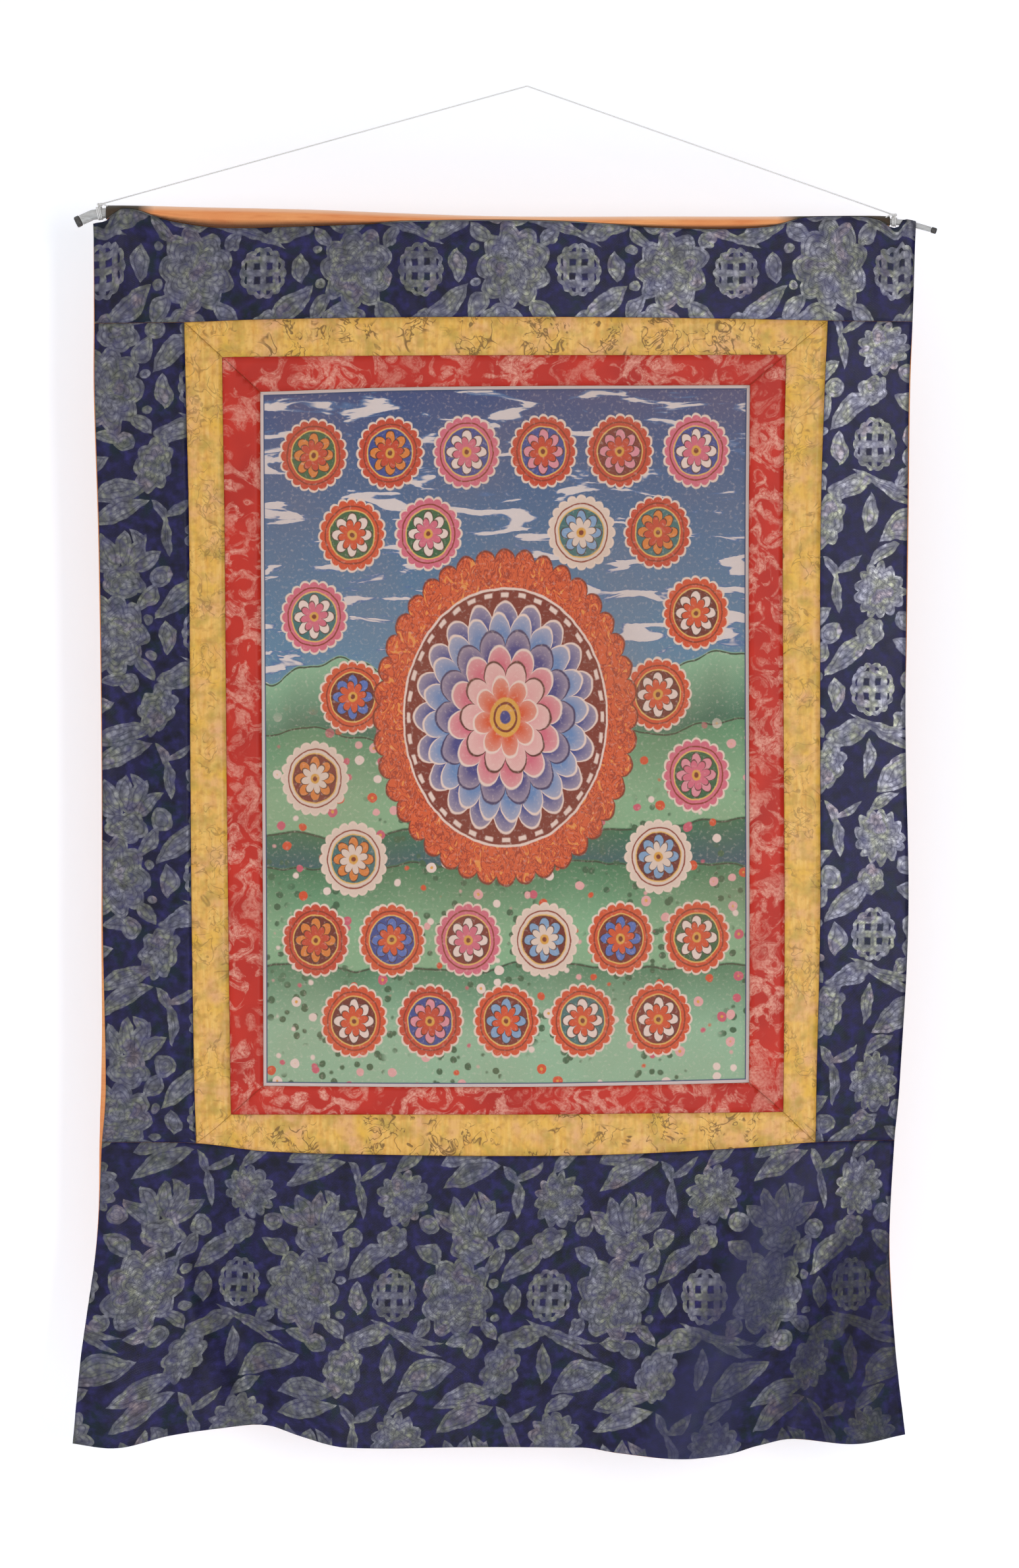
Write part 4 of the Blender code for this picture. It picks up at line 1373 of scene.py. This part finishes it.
yellow_finish, tree, surface = new_finish("yellow_silk_satin_woven")
place = on_cloth(tree)
streaked = add(tree, "VectorMath", place, (1.0, 0.12, 1.0), operation="MULTIPLY")
streaks = patches(tree, streaked, 3.5, 3.0, 9.0)
tone = over(tree, "#d69b42", add(tree, "MapRange", streaks, 0.3, 0.7), "#e6b964")
for size, seed, share, stain in (
    (30.0, 22.0, 0.9, "#dca93a"), (24.0, 40.0, 0.85, "#d9a070"), (17.0, 75.0, 0.8, "#b0903a"),
    (6.0, 12.0, 0.6, "#b88236"),
):
    stained = add(tree, "MapRange", patches(tree, place, size, 3.0, seed), 0.48, 0.7, 0.0, share)
    tone = over(tree, tone, stained, stain)
twigs = []
for size, seed, width in ((26.0, 3.0, 0.028), (15.0, 60.0, 0.036)):
    crossing = away_from(tree, patches(tree, place, size, 2.5, seed, 1.2), 0.5)
    line = soft_below(tree, crossing, 0.5 * width, 0.4 * width)
    where = soft_below(tree, patches(tree, place, 38.0, 1.0, seed + 20.0), 0.47, 0.03)
    twigs.append(all_of(tree, line, where))
flat_across, flat_down = along(tree, place)
aside = away_from(tree, flat_across)
bare_sides = add(tree, "MapRange", aside, UPRIGHTS[5], UPRIGHTS[5] + 4.0, 1.0, 0.55)
bare_foot = add(tree, "MapRange", flat_down, -300.0, 0.0, 1.0, 0.85)
twig = all_of(tree, any_of(tree, *twigs), bare_sides, bare_foot)
color = over(tree, tone, twig, "#6b4a1c")
weave = ribs(tree, place, *SILK_THREADS)
fine = add(tree, "Math", weave, 0.1, operation="MULTIPLY")
height = add(tree, "Math", streaks, 0.5, fine, operation="MULTIPLY_ADD")
coat(
    tree, surface, color, 0.42, height, 0.5, 0.3,
    Specular_IOR_Level=0.35, Sheen_Weight=0.15, Sheen_Roughness=0.35,
)
dress(borders["yellow"], yellow_finish)

# %% [markdown]
# ## Red silk
# The inner border is a deep red damask. Its leaves and clouds are woven in the
# same red with the other side of the satin up, so they look paler and pinker.

# %% Red damask
red_finish, tree, surface = new_finish("red_silk_damask_woven")
place = on_cloth(tree)
clouds = patches(tree, place, 20.0, 3.0, 15.0, 1.6)
figure = soft_below(tree, clouds, 0.515, -0.06)
rim = soft_below(tree, away_from(tree, clouds, 0.56), 0.012, 0.008)
within_rim = add(tree, "Math", rim, -0.7, 1.0, operation="MULTIPLY_ADD")
speckle = add(tree, "MapRange", patches(tree, place, 2.6, 2.0, 4.0), 0.3, 0.65, 0.35, 1.0)
where = add(tree, "MapRange", patches(tree, place, 55.0, 1.0, 90.0), 0.38, 0.6, 0.38, 0.86)
figure = all_of(tree, figure, within_rim, speckle, where)
tone = over(tree, "#99170a", patches(tree, place, 42.0, 2.0, 2.0), "#ca2c15")
color = over(tree, tone, figure, "#e0a18b")
weave = ribs(tree, place, *SILK_THREADS)
fine = add(tree, "Math", weave, 0.12, operation="MULTIPLY")
height = add(tree, "Math", figure, 0.5, fine, operation="MULTIPLY_ADD")
coat(
    tree, surface, color, 0.48, height, 0.5, 0.3,
    Specular_IOR_Level=0.3, Sheen_Weight=0.1, Sheen_Roughness=0.4,
)
dress(borders["red"], red_finish)

# %% [markdown]
# ## Orange lining
# The lining is plain-woven cotton, dyed orange. It has no figure, only its
# threads and some uneven dye. A painted highlight pales it where it faces up,
# a painted shadow darkens it just above the brocade's edge, and its sleeve
# turns dark olive towards both ends of the cane.

# %% Plain-woven dyed cotton
lining_finish, tree, surface = new_finish("orange_cotton_plain_weave")
place = on_cloth(tree)
uneven = patches(tree, place, 90.0, 4.0, 8.0)
tone = over(tree, "#d97f4a", add(tree, "MapRange", uneven, 0.2, 0.8), "#eaa468")
slubs = add(tree, "VectorMath", place, (0.08, 1.0, 1.0), operation="MULTIPLY")
slub = patches(tree, slubs, 2.0, 2.0, 3.0)
color = over(tree, tone, add(tree, "MapRange", slub, 0.5, 0.8, 0.0, 0.35), "#b8501f")
# Painted highlight: the lining turns pale where it faces up.
[facing_up] = along(tree, add(tree, "NewGeometry", out=1), UP)
painted_highlight_facing_up = add(tree, "MapRange", facing_up, 0.15, 0.85, 0.0, 0.7)
color = over(tree, color, painted_highlight_facing_up, "#f3cfb2")
# Painted shadow: a dark line on the sleeve just above the brocade's top edge.
[sleeve_down] = along(tree, place, DOWN)
seam = add(tree, "MapRange", sleeve_down, 0.5 - SLEEVE_FLAT, 2.6 - SLEEVE_FLAT, 0.85, 0.0)
color = over(tree, color, seam, "#2c150e")
# The sleeve's front is coloured dark olive towards both ends of the cane.
[to_right] = along(tree, add(tree, "TexCoord", out=3), ACROSS)
left_end = add(tree, "MapRange", to_right, -0.350, -0.366)
right_end = add(tree, "MapRange", to_right, 0.235, 0.255)
in_front = add(
    tree, "MapRange", sleeve_down, -0.30 * SLEEVE_FLAT, -0.42 * SLEEVE_FLAT, 0.0, 0.96,
)
dark_sleeve_ends = all_of(tree, any_of(tree, left_end, right_end), in_front)
color = over(tree, color, dark_sleeve_ends, "#2b2a22")
weave = ribs(tree, place, 2.0, 2.0)
height = add(tree, "Math", weave, 0.3, slub, operation="MULTIPLY_ADD")
coat(
    tree, surface, color, 0.85, height, 0.5, 0.3,
    Specular_IOR_Level=0.2, Sheen_Weight=0.2, Sheen_Roughness=0.5,
)
dress([lining], lining_finish)

# %% [markdown]
# ## The painted canvas
# The canvas is cotton, primed with chalk and glue and painted in mineral
# colours: malachite and azurite, vermilion, lac and gold. The design here is a
# general one in those colours: a garden under a clouded sky, rows of lotus
# roundels, and one large lotus in an oval of flame. Everything on it comes from
# a few distances: to a line, to the middle of a roundel, and round its petals.

# %% Shapes to paint
def band(tree, value, middle, half, blur):
    """1 near one value, and 0 away from it."""
    return soft_below(tree, away_from(tree, value, middle), half, blur)


def petal_rim(tree, bearing, count, inner, depth, phase=0.0):
    """How far out a ring of round petals reaches at each bearing."""
    lobe = add(tree, "Math", lobes(tree, bearing, count, phase), 0.6, operation="POWER")
    return add(tree, "Math", lobe, depth, inner, operation="MULTIPLY_ADD")


def petals_within(tree, out, rim, blur):
    """1 inside a petalled rim."""
    return soft_below(tree, add(tree, "Math", out, rim, operation="SUBTRACT"), 0.0, blur)


def drawn_paint(tree, share, codes):
    """One of several paints, by a share from 0 to 1."""
    socket = add(tree, "ValToRGB", share)
    ramp = socket.node.color_ramp
    ramp.interpolation = "CONSTANT"
    for i, code in enumerate(codes):
        stop = ramp.elements[i] if i < 2 else ramp.elements.new(i / len(codes))
        stop.position, stop.color = i / len(codes), dye(code)
    return socket


def seen_from(tree, place, middle, size):
    """A place from a middle, in shares of a half width and a half height."""
    away = add(tree, "VectorMath", place, (*middle, 0.0), operation="SUBTRACT")
    return add(tree, "VectorMath", away, (1.0 / size[0], 1.0 / size[1], 0.0), operation="MULTIPLY")


def rolling(tree, place, level, swing, length, seed):
    """How far a point lies below a rolling line."""
    across, down = along(tree, place)
    row = add(tree, "CombineXYZ", across, seed, 0.0)
    line = patches(tree, row, length, 2.0, seed)
    height = add(tree, "Math", line, swing, level - 0.5 * swing, operation="MULTIPLY_ADD")
    return add(tree, "Math", down, height, operation="SUBTRACT")


print(f"a flower of 8 petals has one every {tau / 8:.3f} radians")

# %% [markdown]
# ## Sky and meadow
# The sky runs from deep azurite to a paler one at the hills. Each hill is what
# lies below a rolling line, shaded from its edge down and drawn round with a
# dark brush. Tufts and blossoms are scattered over the meadow in front.

# %% Sky, hills and meadow
BRUSH_TREMBLE = 3.0
TUFT_PITCH, BLOSSOM_PITCH = 11.0, 16.0

canvas_finish, tree, surface = new_finish("chalk_primed_cotton_painted_in_mineral_colours")
place = on_cloth(tree)
painted = drifted(tree, place, patches(tree, place, 14.0, 3.0, 21.0), BRUSH_TREMBLE)
across, down = along(tree, painted)

sky = over(tree, "#1d4a86", add(tree, "MapRange", down, -330.0, -20.0), "#5f9bb8")
streaked = add(tree, "VectorMath", painted, (0.22, 1.0, 1.0), operation="MULTIPLY")
cloud = patches(tree, streaked, 15.0, 3.0, 11.0, 0.8)
color = over(tree, sky, soft_below(tree, cloud, 0.575, -0.02), "#3f78ad")
color = over(tree, color, soft_below(tree, cloud, 0.60, -0.015), "#dfe2e0")
for level, swing, length, seed, grass, edge in (
    (-70.0, 90.0, 90.0, 5.0, "#2f7a63", "#8cc7a2"),
    (-10.0, 80.0, 110.0, 25.0, "#86bf95", "#4f9a72"),
    (85.0, 70.0, 120.0, 45.0, "#24507c", "#1d7a55"),
    (120.0, 60.0, 90.0, 65.0, "#84c096", "#2f7f58"),
    (215.0, 60.0, 100.0, 85.0, "#93caa8", "#3f8a66"),
):
    below = rolling(tree, painted, level, swing, length, seed)
    shade = over(tree, edge, add(tree, "MapRange", below, 0.0, 60.0), grass)
    color = over(tree, color, soft_below(tree, below, 0.0, -0.8), shade)
    color = over(tree, color, band(tree, below, 1.5, 0.8, 0.5), "#1f4a3a")
leaf_cells = add(tree, "TexVoronoi", painted, named={"Scale": 1.0 / TUFT_PITCH}, feature="F1")
tuft = all_of(
    tree, soft_below(tree, leaf_cells, 0.30, 0.05),
    soft_below(tree, patches(tree, painted, 60.0, 1.0, 33.0), 0.5, 0.03),
    soft_below(tree, down, 60.0, -20.0),
)
color = over(tree, color, tuft, "#2a6a4c")
blossom_cells = add(
    tree, "TexVoronoi", painted, named={"Scale": 1.0 / BLOSSOM_PITCH, "Randomness": 0.8},
    feature="F1",
)
[lot] = along(tree, blossom_cells.node.outputs[1], ACROSS)
blossom_paint = drawn_paint(tree, lot, ("#d9532c", "#e9b6b4", "#f0e6da", "#cf5f78"))
meadow = soft_below(tree, down, -10.0, -25.0)
for size, paint in ((0.29, blossom_paint), (0.09, "#e2b04a")):
    blossom = all_of(tree, soft_below(tree, blossom_cells, size, 0.03), meadow)
    color = over(tree, color, blossom, paint)
print(f"landscape: {len(tree.nodes)} nodes")

# %% [markdown]
# ## Rows of lotus roundels
# The roundels stand in rows, every second row half a pitch over. Each cell of
# the rows is one roundel's own paper, with its middle at 0 and its rim near 1,
# so the same petals are drawn once for all. A draw of lots for each cell picks
# its colours. A roundel that the frame or the oval would cut is left out.

# %% Roundels
ROUNDEL_PITCH = (72.0, 76.0)
ROUNDEL_SIZE = (31.0, 34.0)
OVAL_MIDDLE = (0.0, -18.0)
OVAL_SIZE = (121.0, 152.0)
OVAL_CLEARANCE = 1.15
RIM_PETALS, FLOWER_PETALS = 20, 8

pitches = (1.0 / ROUNDEL_PITCH[0], 1.0 / ROUNDEL_PITCH[1], 1.0)
cell = add(tree, "VectorMath", painted, pitches, operation="MULTIPLY")
cell_across, cell_down = along(tree, cell)
row = add(tree, "Math", cell_down, operation="FLOOR")
odd = add(tree, "Math", row, 2.0, operation="FLOORED_MODULO")
cell_across = add(tree, "Math", odd, 0.5, cell_across, operation="MULTIPLY_ADD")
column = add(tree, "Math", cell_across, operation="FLOOR")
in_cell = (add(tree, "Math", axis, operation="FRACT") for axis in (cell_across, cell_down))
local = add(tree, "CombineXYZ", *in_cell, 0.5)
local = add(tree, "VectorMath", local, HALF, operation="SUBTRACT")
fill = (ROUNDEL_PITCH[0] / ROUNDEL_SIZE[0], ROUNDEL_PITCH[1] / ROUNDEL_SIZE[1], 1.0)
local = add(tree, "VectorMath", local, fill, operation="MULTIPLY")
out, bearing = round_about(tree, local)
lots = add(tree, "TexWhiteNoise", add(tree, "CombineXYZ", column, row, 7.0))
halo_lot, ground_lot = along(tree, lots.node.outputs[1])

halo = drawn_paint(tree, halo_lot, ("#d9532c", "#e6dccb", "#c9472e", "#d9718a", "#d65a33"))
inner = drawn_paint(tree, ground_lot, ("#6b1f22", "#1f6a46", "#2b4f9a", "#7a2a2a", "#27777a"))
flower_paints = ("#f0e6da", "#7fb0d6", "#e08a3c", "#e39aa8", "#f0e6da", "#4f79c4")
flower = drawn_paint(tree, lots, flower_paints)

roundel = color
for inner_edge, paint in ((0.94, "#efe4d2"), (0.88, halo)):
    rim = petal_rim(tree, bearing, RIM_PETALS, inner_edge, 0.10)
    roundel = over(tree, roundel, petals_within(tree, out, rim, 0.02), paint)
roundel = over(tree, roundel, band(tree, out, 0.80, 0.02, 0.015), "#8a2c1c")
for size, paint in ((0.70, "#e9c46a"), (0.665, inner)):
    roundel = over(tree, roundel, soft_below(tree, out, size, 0.015), paint)
line_out = add(tree, "Math", out, 0.035, operation="SUBTRACT")
for reach, depth, phase, paint in ((0.30, 0.30, 0.0, flower), (0.20, 0.22, 0.25 * pi, halo)):
    rim = petal_rim(tree, bearing, FLOWER_PETALS, reach, depth, phase)
    roundel = over(tree, roundel, petals_within(tree, line_out, rim, 0.02), "#3a1d1d")
    roundel = over(tree, roundel, petals_within(tree, out, rim, 0.02), paint)
for size, paint in ((0.14, "#e2b04a"), (0.07, "#7a2a1a")):
    roundel = over(tree, roundel, soft_below(tree, out, size, 0.02), paint)

to_middle = (-ROUNDEL_SIZE[0], -ROUNDEL_SIZE[1], 0.0)
middle = add(tree, "VectorMath", local, to_middle, painted, operation="MULTIPLY_ADD")
from_oval, _ = round_about(tree, seen_from(tree, middle, OVAL_MIDDLE, OVAL_SIZE))
whole = add(tree, "Math", from_oval, OVAL_CLEARANCE, operation="GREATER_THAN")
half_sheet = [0.5 * (end - start) for start, end in (UPRIGHTS[3:5], LEVELS[3:5])]
for axis, half, size in zip(along(tree, middle), half_sheet, ROUNDEL_SIZE):
    room_left = half - 1.1 * size
    inside = add(tree, "Math", away_from(tree, axis), room_left, operation="LESS_THAN")
    whole = all_of(tree, whole, inside)
color = over(tree, color, whole, roundel)
print(f"roundels: {len(tree.nodes)} nodes")

# %% [markdown]
# ## The large lotus
# The middle holds one lotus in an oval of flame. Its petals are rings inside
# rings. Each ring is drawn twice: a little larger for its rim, then its petals,
# which pale towards their tips as brushed petals do.

# %% The large lotus in its oval of flame
FLAME_TONGUES, PEARLS = 40, 36
PETAL_EDGE = 0.006

out, bearing = round_about(tree, seen_from(tree, painted, OVAL_MIDDLE, OVAL_SIZE))
lick = add(tree, "VectorMath", painted, (1.0, 0.6, 1.0), operation="MULTIPLY")
flames = patches(tree, lick, 9.0, 2.0, 71.0, 2.2)
flame_paint = over(tree, "#e0602f", band(tree, flames, 0.5, 0.035, 0.02), "#a8341c")
flame_paint = over(tree, flame_paint, soft_below(tree, flames, 0.64, -0.02), "#f0a04a")
for reach, paint in ((0.98, "#7c2416"), (0.965, flame_paint)):
    rim = petal_rim(tree, bearing, FLAME_TONGUES, reach, 0.06)
    color = over(tree, color, petals_within(tree, out, rim, PETAL_EDGE), paint)
for size, paint in ((0.80, "#f2e6d8"), (0.785, "#7a2420")):
    color = over(tree, color, soft_below(tree, out, size, 0.004), paint)
turns = add(tree, "Math", bearing, float(PEARLS), operation="MULTIPLY")
pearls = soft_below(tree, add(tree, "Math", turns, operation="COSINE"), 0.1, -0.3)
pearls = all_of(tree, pearls, band(tree, out, 0.755, 0.014, 0.006))
color = over(tree, color, pearls, "#f2e6d8")
for count, reach, depth, phase, rim_paint, petal_paint in (
    (20, 0.60, 0.12, 0.0, "#f2e6d8", "#2b4f9a"),
    (20, 0.53, 0.12, 0.25 * pi, "#f2e6d8", "#5d93c9"),
    (14, 0.44, 0.11, 0.0, "#1b2c66", "#28408f"),
    (12, 0.34, 0.11, 0.25 * pi, "#f2e6d8", "#d9718a"),
    (10, 0.26, 0.10, 0.0, "#4a1718", "#e9b6b4"),
    (8, 0.17, 0.09, 0.25 * pi, "#f2e6d8", "#dd5d33"),
):
    rim = petal_rim(tree, bearing, count, reach, depth, phase)
    color = over(tree, color, petals_within(tree, out, rim, PETAL_EDGE), rim_paint)
    rim = petal_rim(tree, bearing, count, reach - 0.016, depth, phase)
    tip = add(tree, "MapRange", add(tree, "Math", rim, out, operation="SUBTRACT"), 0.0, 0.10)
    paled = over(tree, petal_paint, 0.35, "#f2e6d8")
    shade = over(tree, paled, tip, petal_paint)
    color = over(tree, color, petals_within(tree, out, rim, PETAL_EDGE), shade)
for heart, paint in (
    (soft_below(tree, out, 0.12, PETAL_EDGE), "#e2b04a"),
    (band(tree, out, 0.085, 0.008, 0.004), "#7a2a1a"),
    (soft_below(tree, out, 0.04, PETAL_EDGE), "#28408f"),
):
    color = over(tree, color, heart, paint)
print(f"lotus: {len(tree.nodes)} nodes")

# %% [markdown]
# ## Age and canvas
# Old paint is a little brown with smoke, and its chalk shows through where it
# is rubbed. A pale line runs along the canvas's edge, with a dark one inside
# it. The canvas's own threads lift the paint by a few hundredths.

# %% Ageing, edge line and the weave of the canvas
grime = patches(tree, place, 120.0, 4.0, 51.0)
color = over(tree, color, add(tree, "MapRange", grime, 0.3, 0.75, 0.12, 0.34), "#a3876a")
chalk = patches(tree, place, 3.2, 3.0, 61.0)
color = over(tree, color, add(tree, "MapRange", chalk, 0.55, 0.8, 0.0, 0.30), "#efe6d6")
varnish = {0: 1.0, 6: color, 7: dye("#f2dfdc")}
color = add(tree, "Mix", named=varnish, out=2, data_type="RGBA", blend_type="MULTIPLY")
edges = (
    add(tree, "Math", half, away_from(tree, axis), operation="SUBTRACT")
    for axis, half in zip(along(tree, place), half_sheet)
)
to_edge = add(tree, "Math", *edges, operation="MINIMUM")
for width, paint in ((4.0, "#3b4765"), (3.0, "#cdb8b0")):
    color = over(tree, color, soft_below(tree, to_edge, width, 0.5), paint)
weave = ribs(tree, place, 1.8, 1.8)
height = add(tree, "Math", weave, 0.25, chalk, operation="MULTIPLY_ADD")
coat(tree, surface, color, 0.72, height, 0.35, 0.3, Specular_IOR_Level=0.25)
dress([canvas], canvas_finish)

# %% [markdown]
# ## Cane, tips and cord
# The cane is a weathered grey shoot, stained nearly black at its two ends. The
# cord is undyed cotton. The cane's solids have the right shape, so they only
# get their finish, with the grain along the cane.

# %% Weathered cane, dark tips and undyed cotton
cane_finish, tree, surface = new_finish("weathered_cane")
where = add(tree, "TexCoord", out=3)
along_grain = add(tree, "VectorMath", where, (18.0, 900.0, 900.0), operation="MULTIPLY")
grain = add(tree, "TexNoise", along_grain, named={"Scale": 1.0, "Detail": 3.0})
tone = over(tree, "#9b9996", add(tree, "MapRange", grain, 0.3, 0.7), "#c9c8c6")
stain = add(tree, "TexNoise", where, named={"Scale": 60.0, "Detail": 2.0})
color = over(tree, tone, add(tree, "MapRange", stain, 0.5, 0.75, 0.0, 0.5), "#7d7368")
coat(tree, surface, color, 0.5, grain, 0.5, 0.3)

tip_finish, tree, surface = new_finish("dark_stained_cane_end")
where = add(tree, "TexCoord", out=3)
grain = add(tree, "TexNoise", where, named={"Scale": 700.0, "Detail": 2.0})
color = over(tree, "#2a2827", add(tree, "MapRange", grain, 0.3, 0.7), "#4a4644")
coat(tree, surface, color, 0.45, grain, 0.4, 0.2)

cord_finish, tree, surface = new_finish("undyed_cotton_cord_laid")
where = add(tree, "TexCoord", out=3)
fibre = add(tree, "TexNoise", where, named={"Scale": 1600.0, "Detail": 2.0})
color = over(tree, "#cfccc8", add(tree, "MapRange", fibre, 0.3, 0.7), "#f3f1ee")
coat(tree, surface, color, 0.9, fibre, 0.5, 0.2, Specular_IOR_Level=0.2)

dress([hanging_cord] + ties, cord_finish)
for node, finish in (
    ("rod", cane_finish), ("rod_tip_left", tip_finish), ("rod_tip_right", tip_finish),
):
    for slot in bpy.data.objects[node].material_slots:
        slot.material = finish

# %% [markdown]
# ## A last measure
# What is shown has to fill the same space as the solids, so both are measured
# and written down side by side.

# %% Sizes
shown_low, shown_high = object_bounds()
for what, corners in (("shown", (*shown_low, *shown_high)), ("cad", (*cad_low, *cad_high))):
    print(what, [round(v, 4) for v in corners])
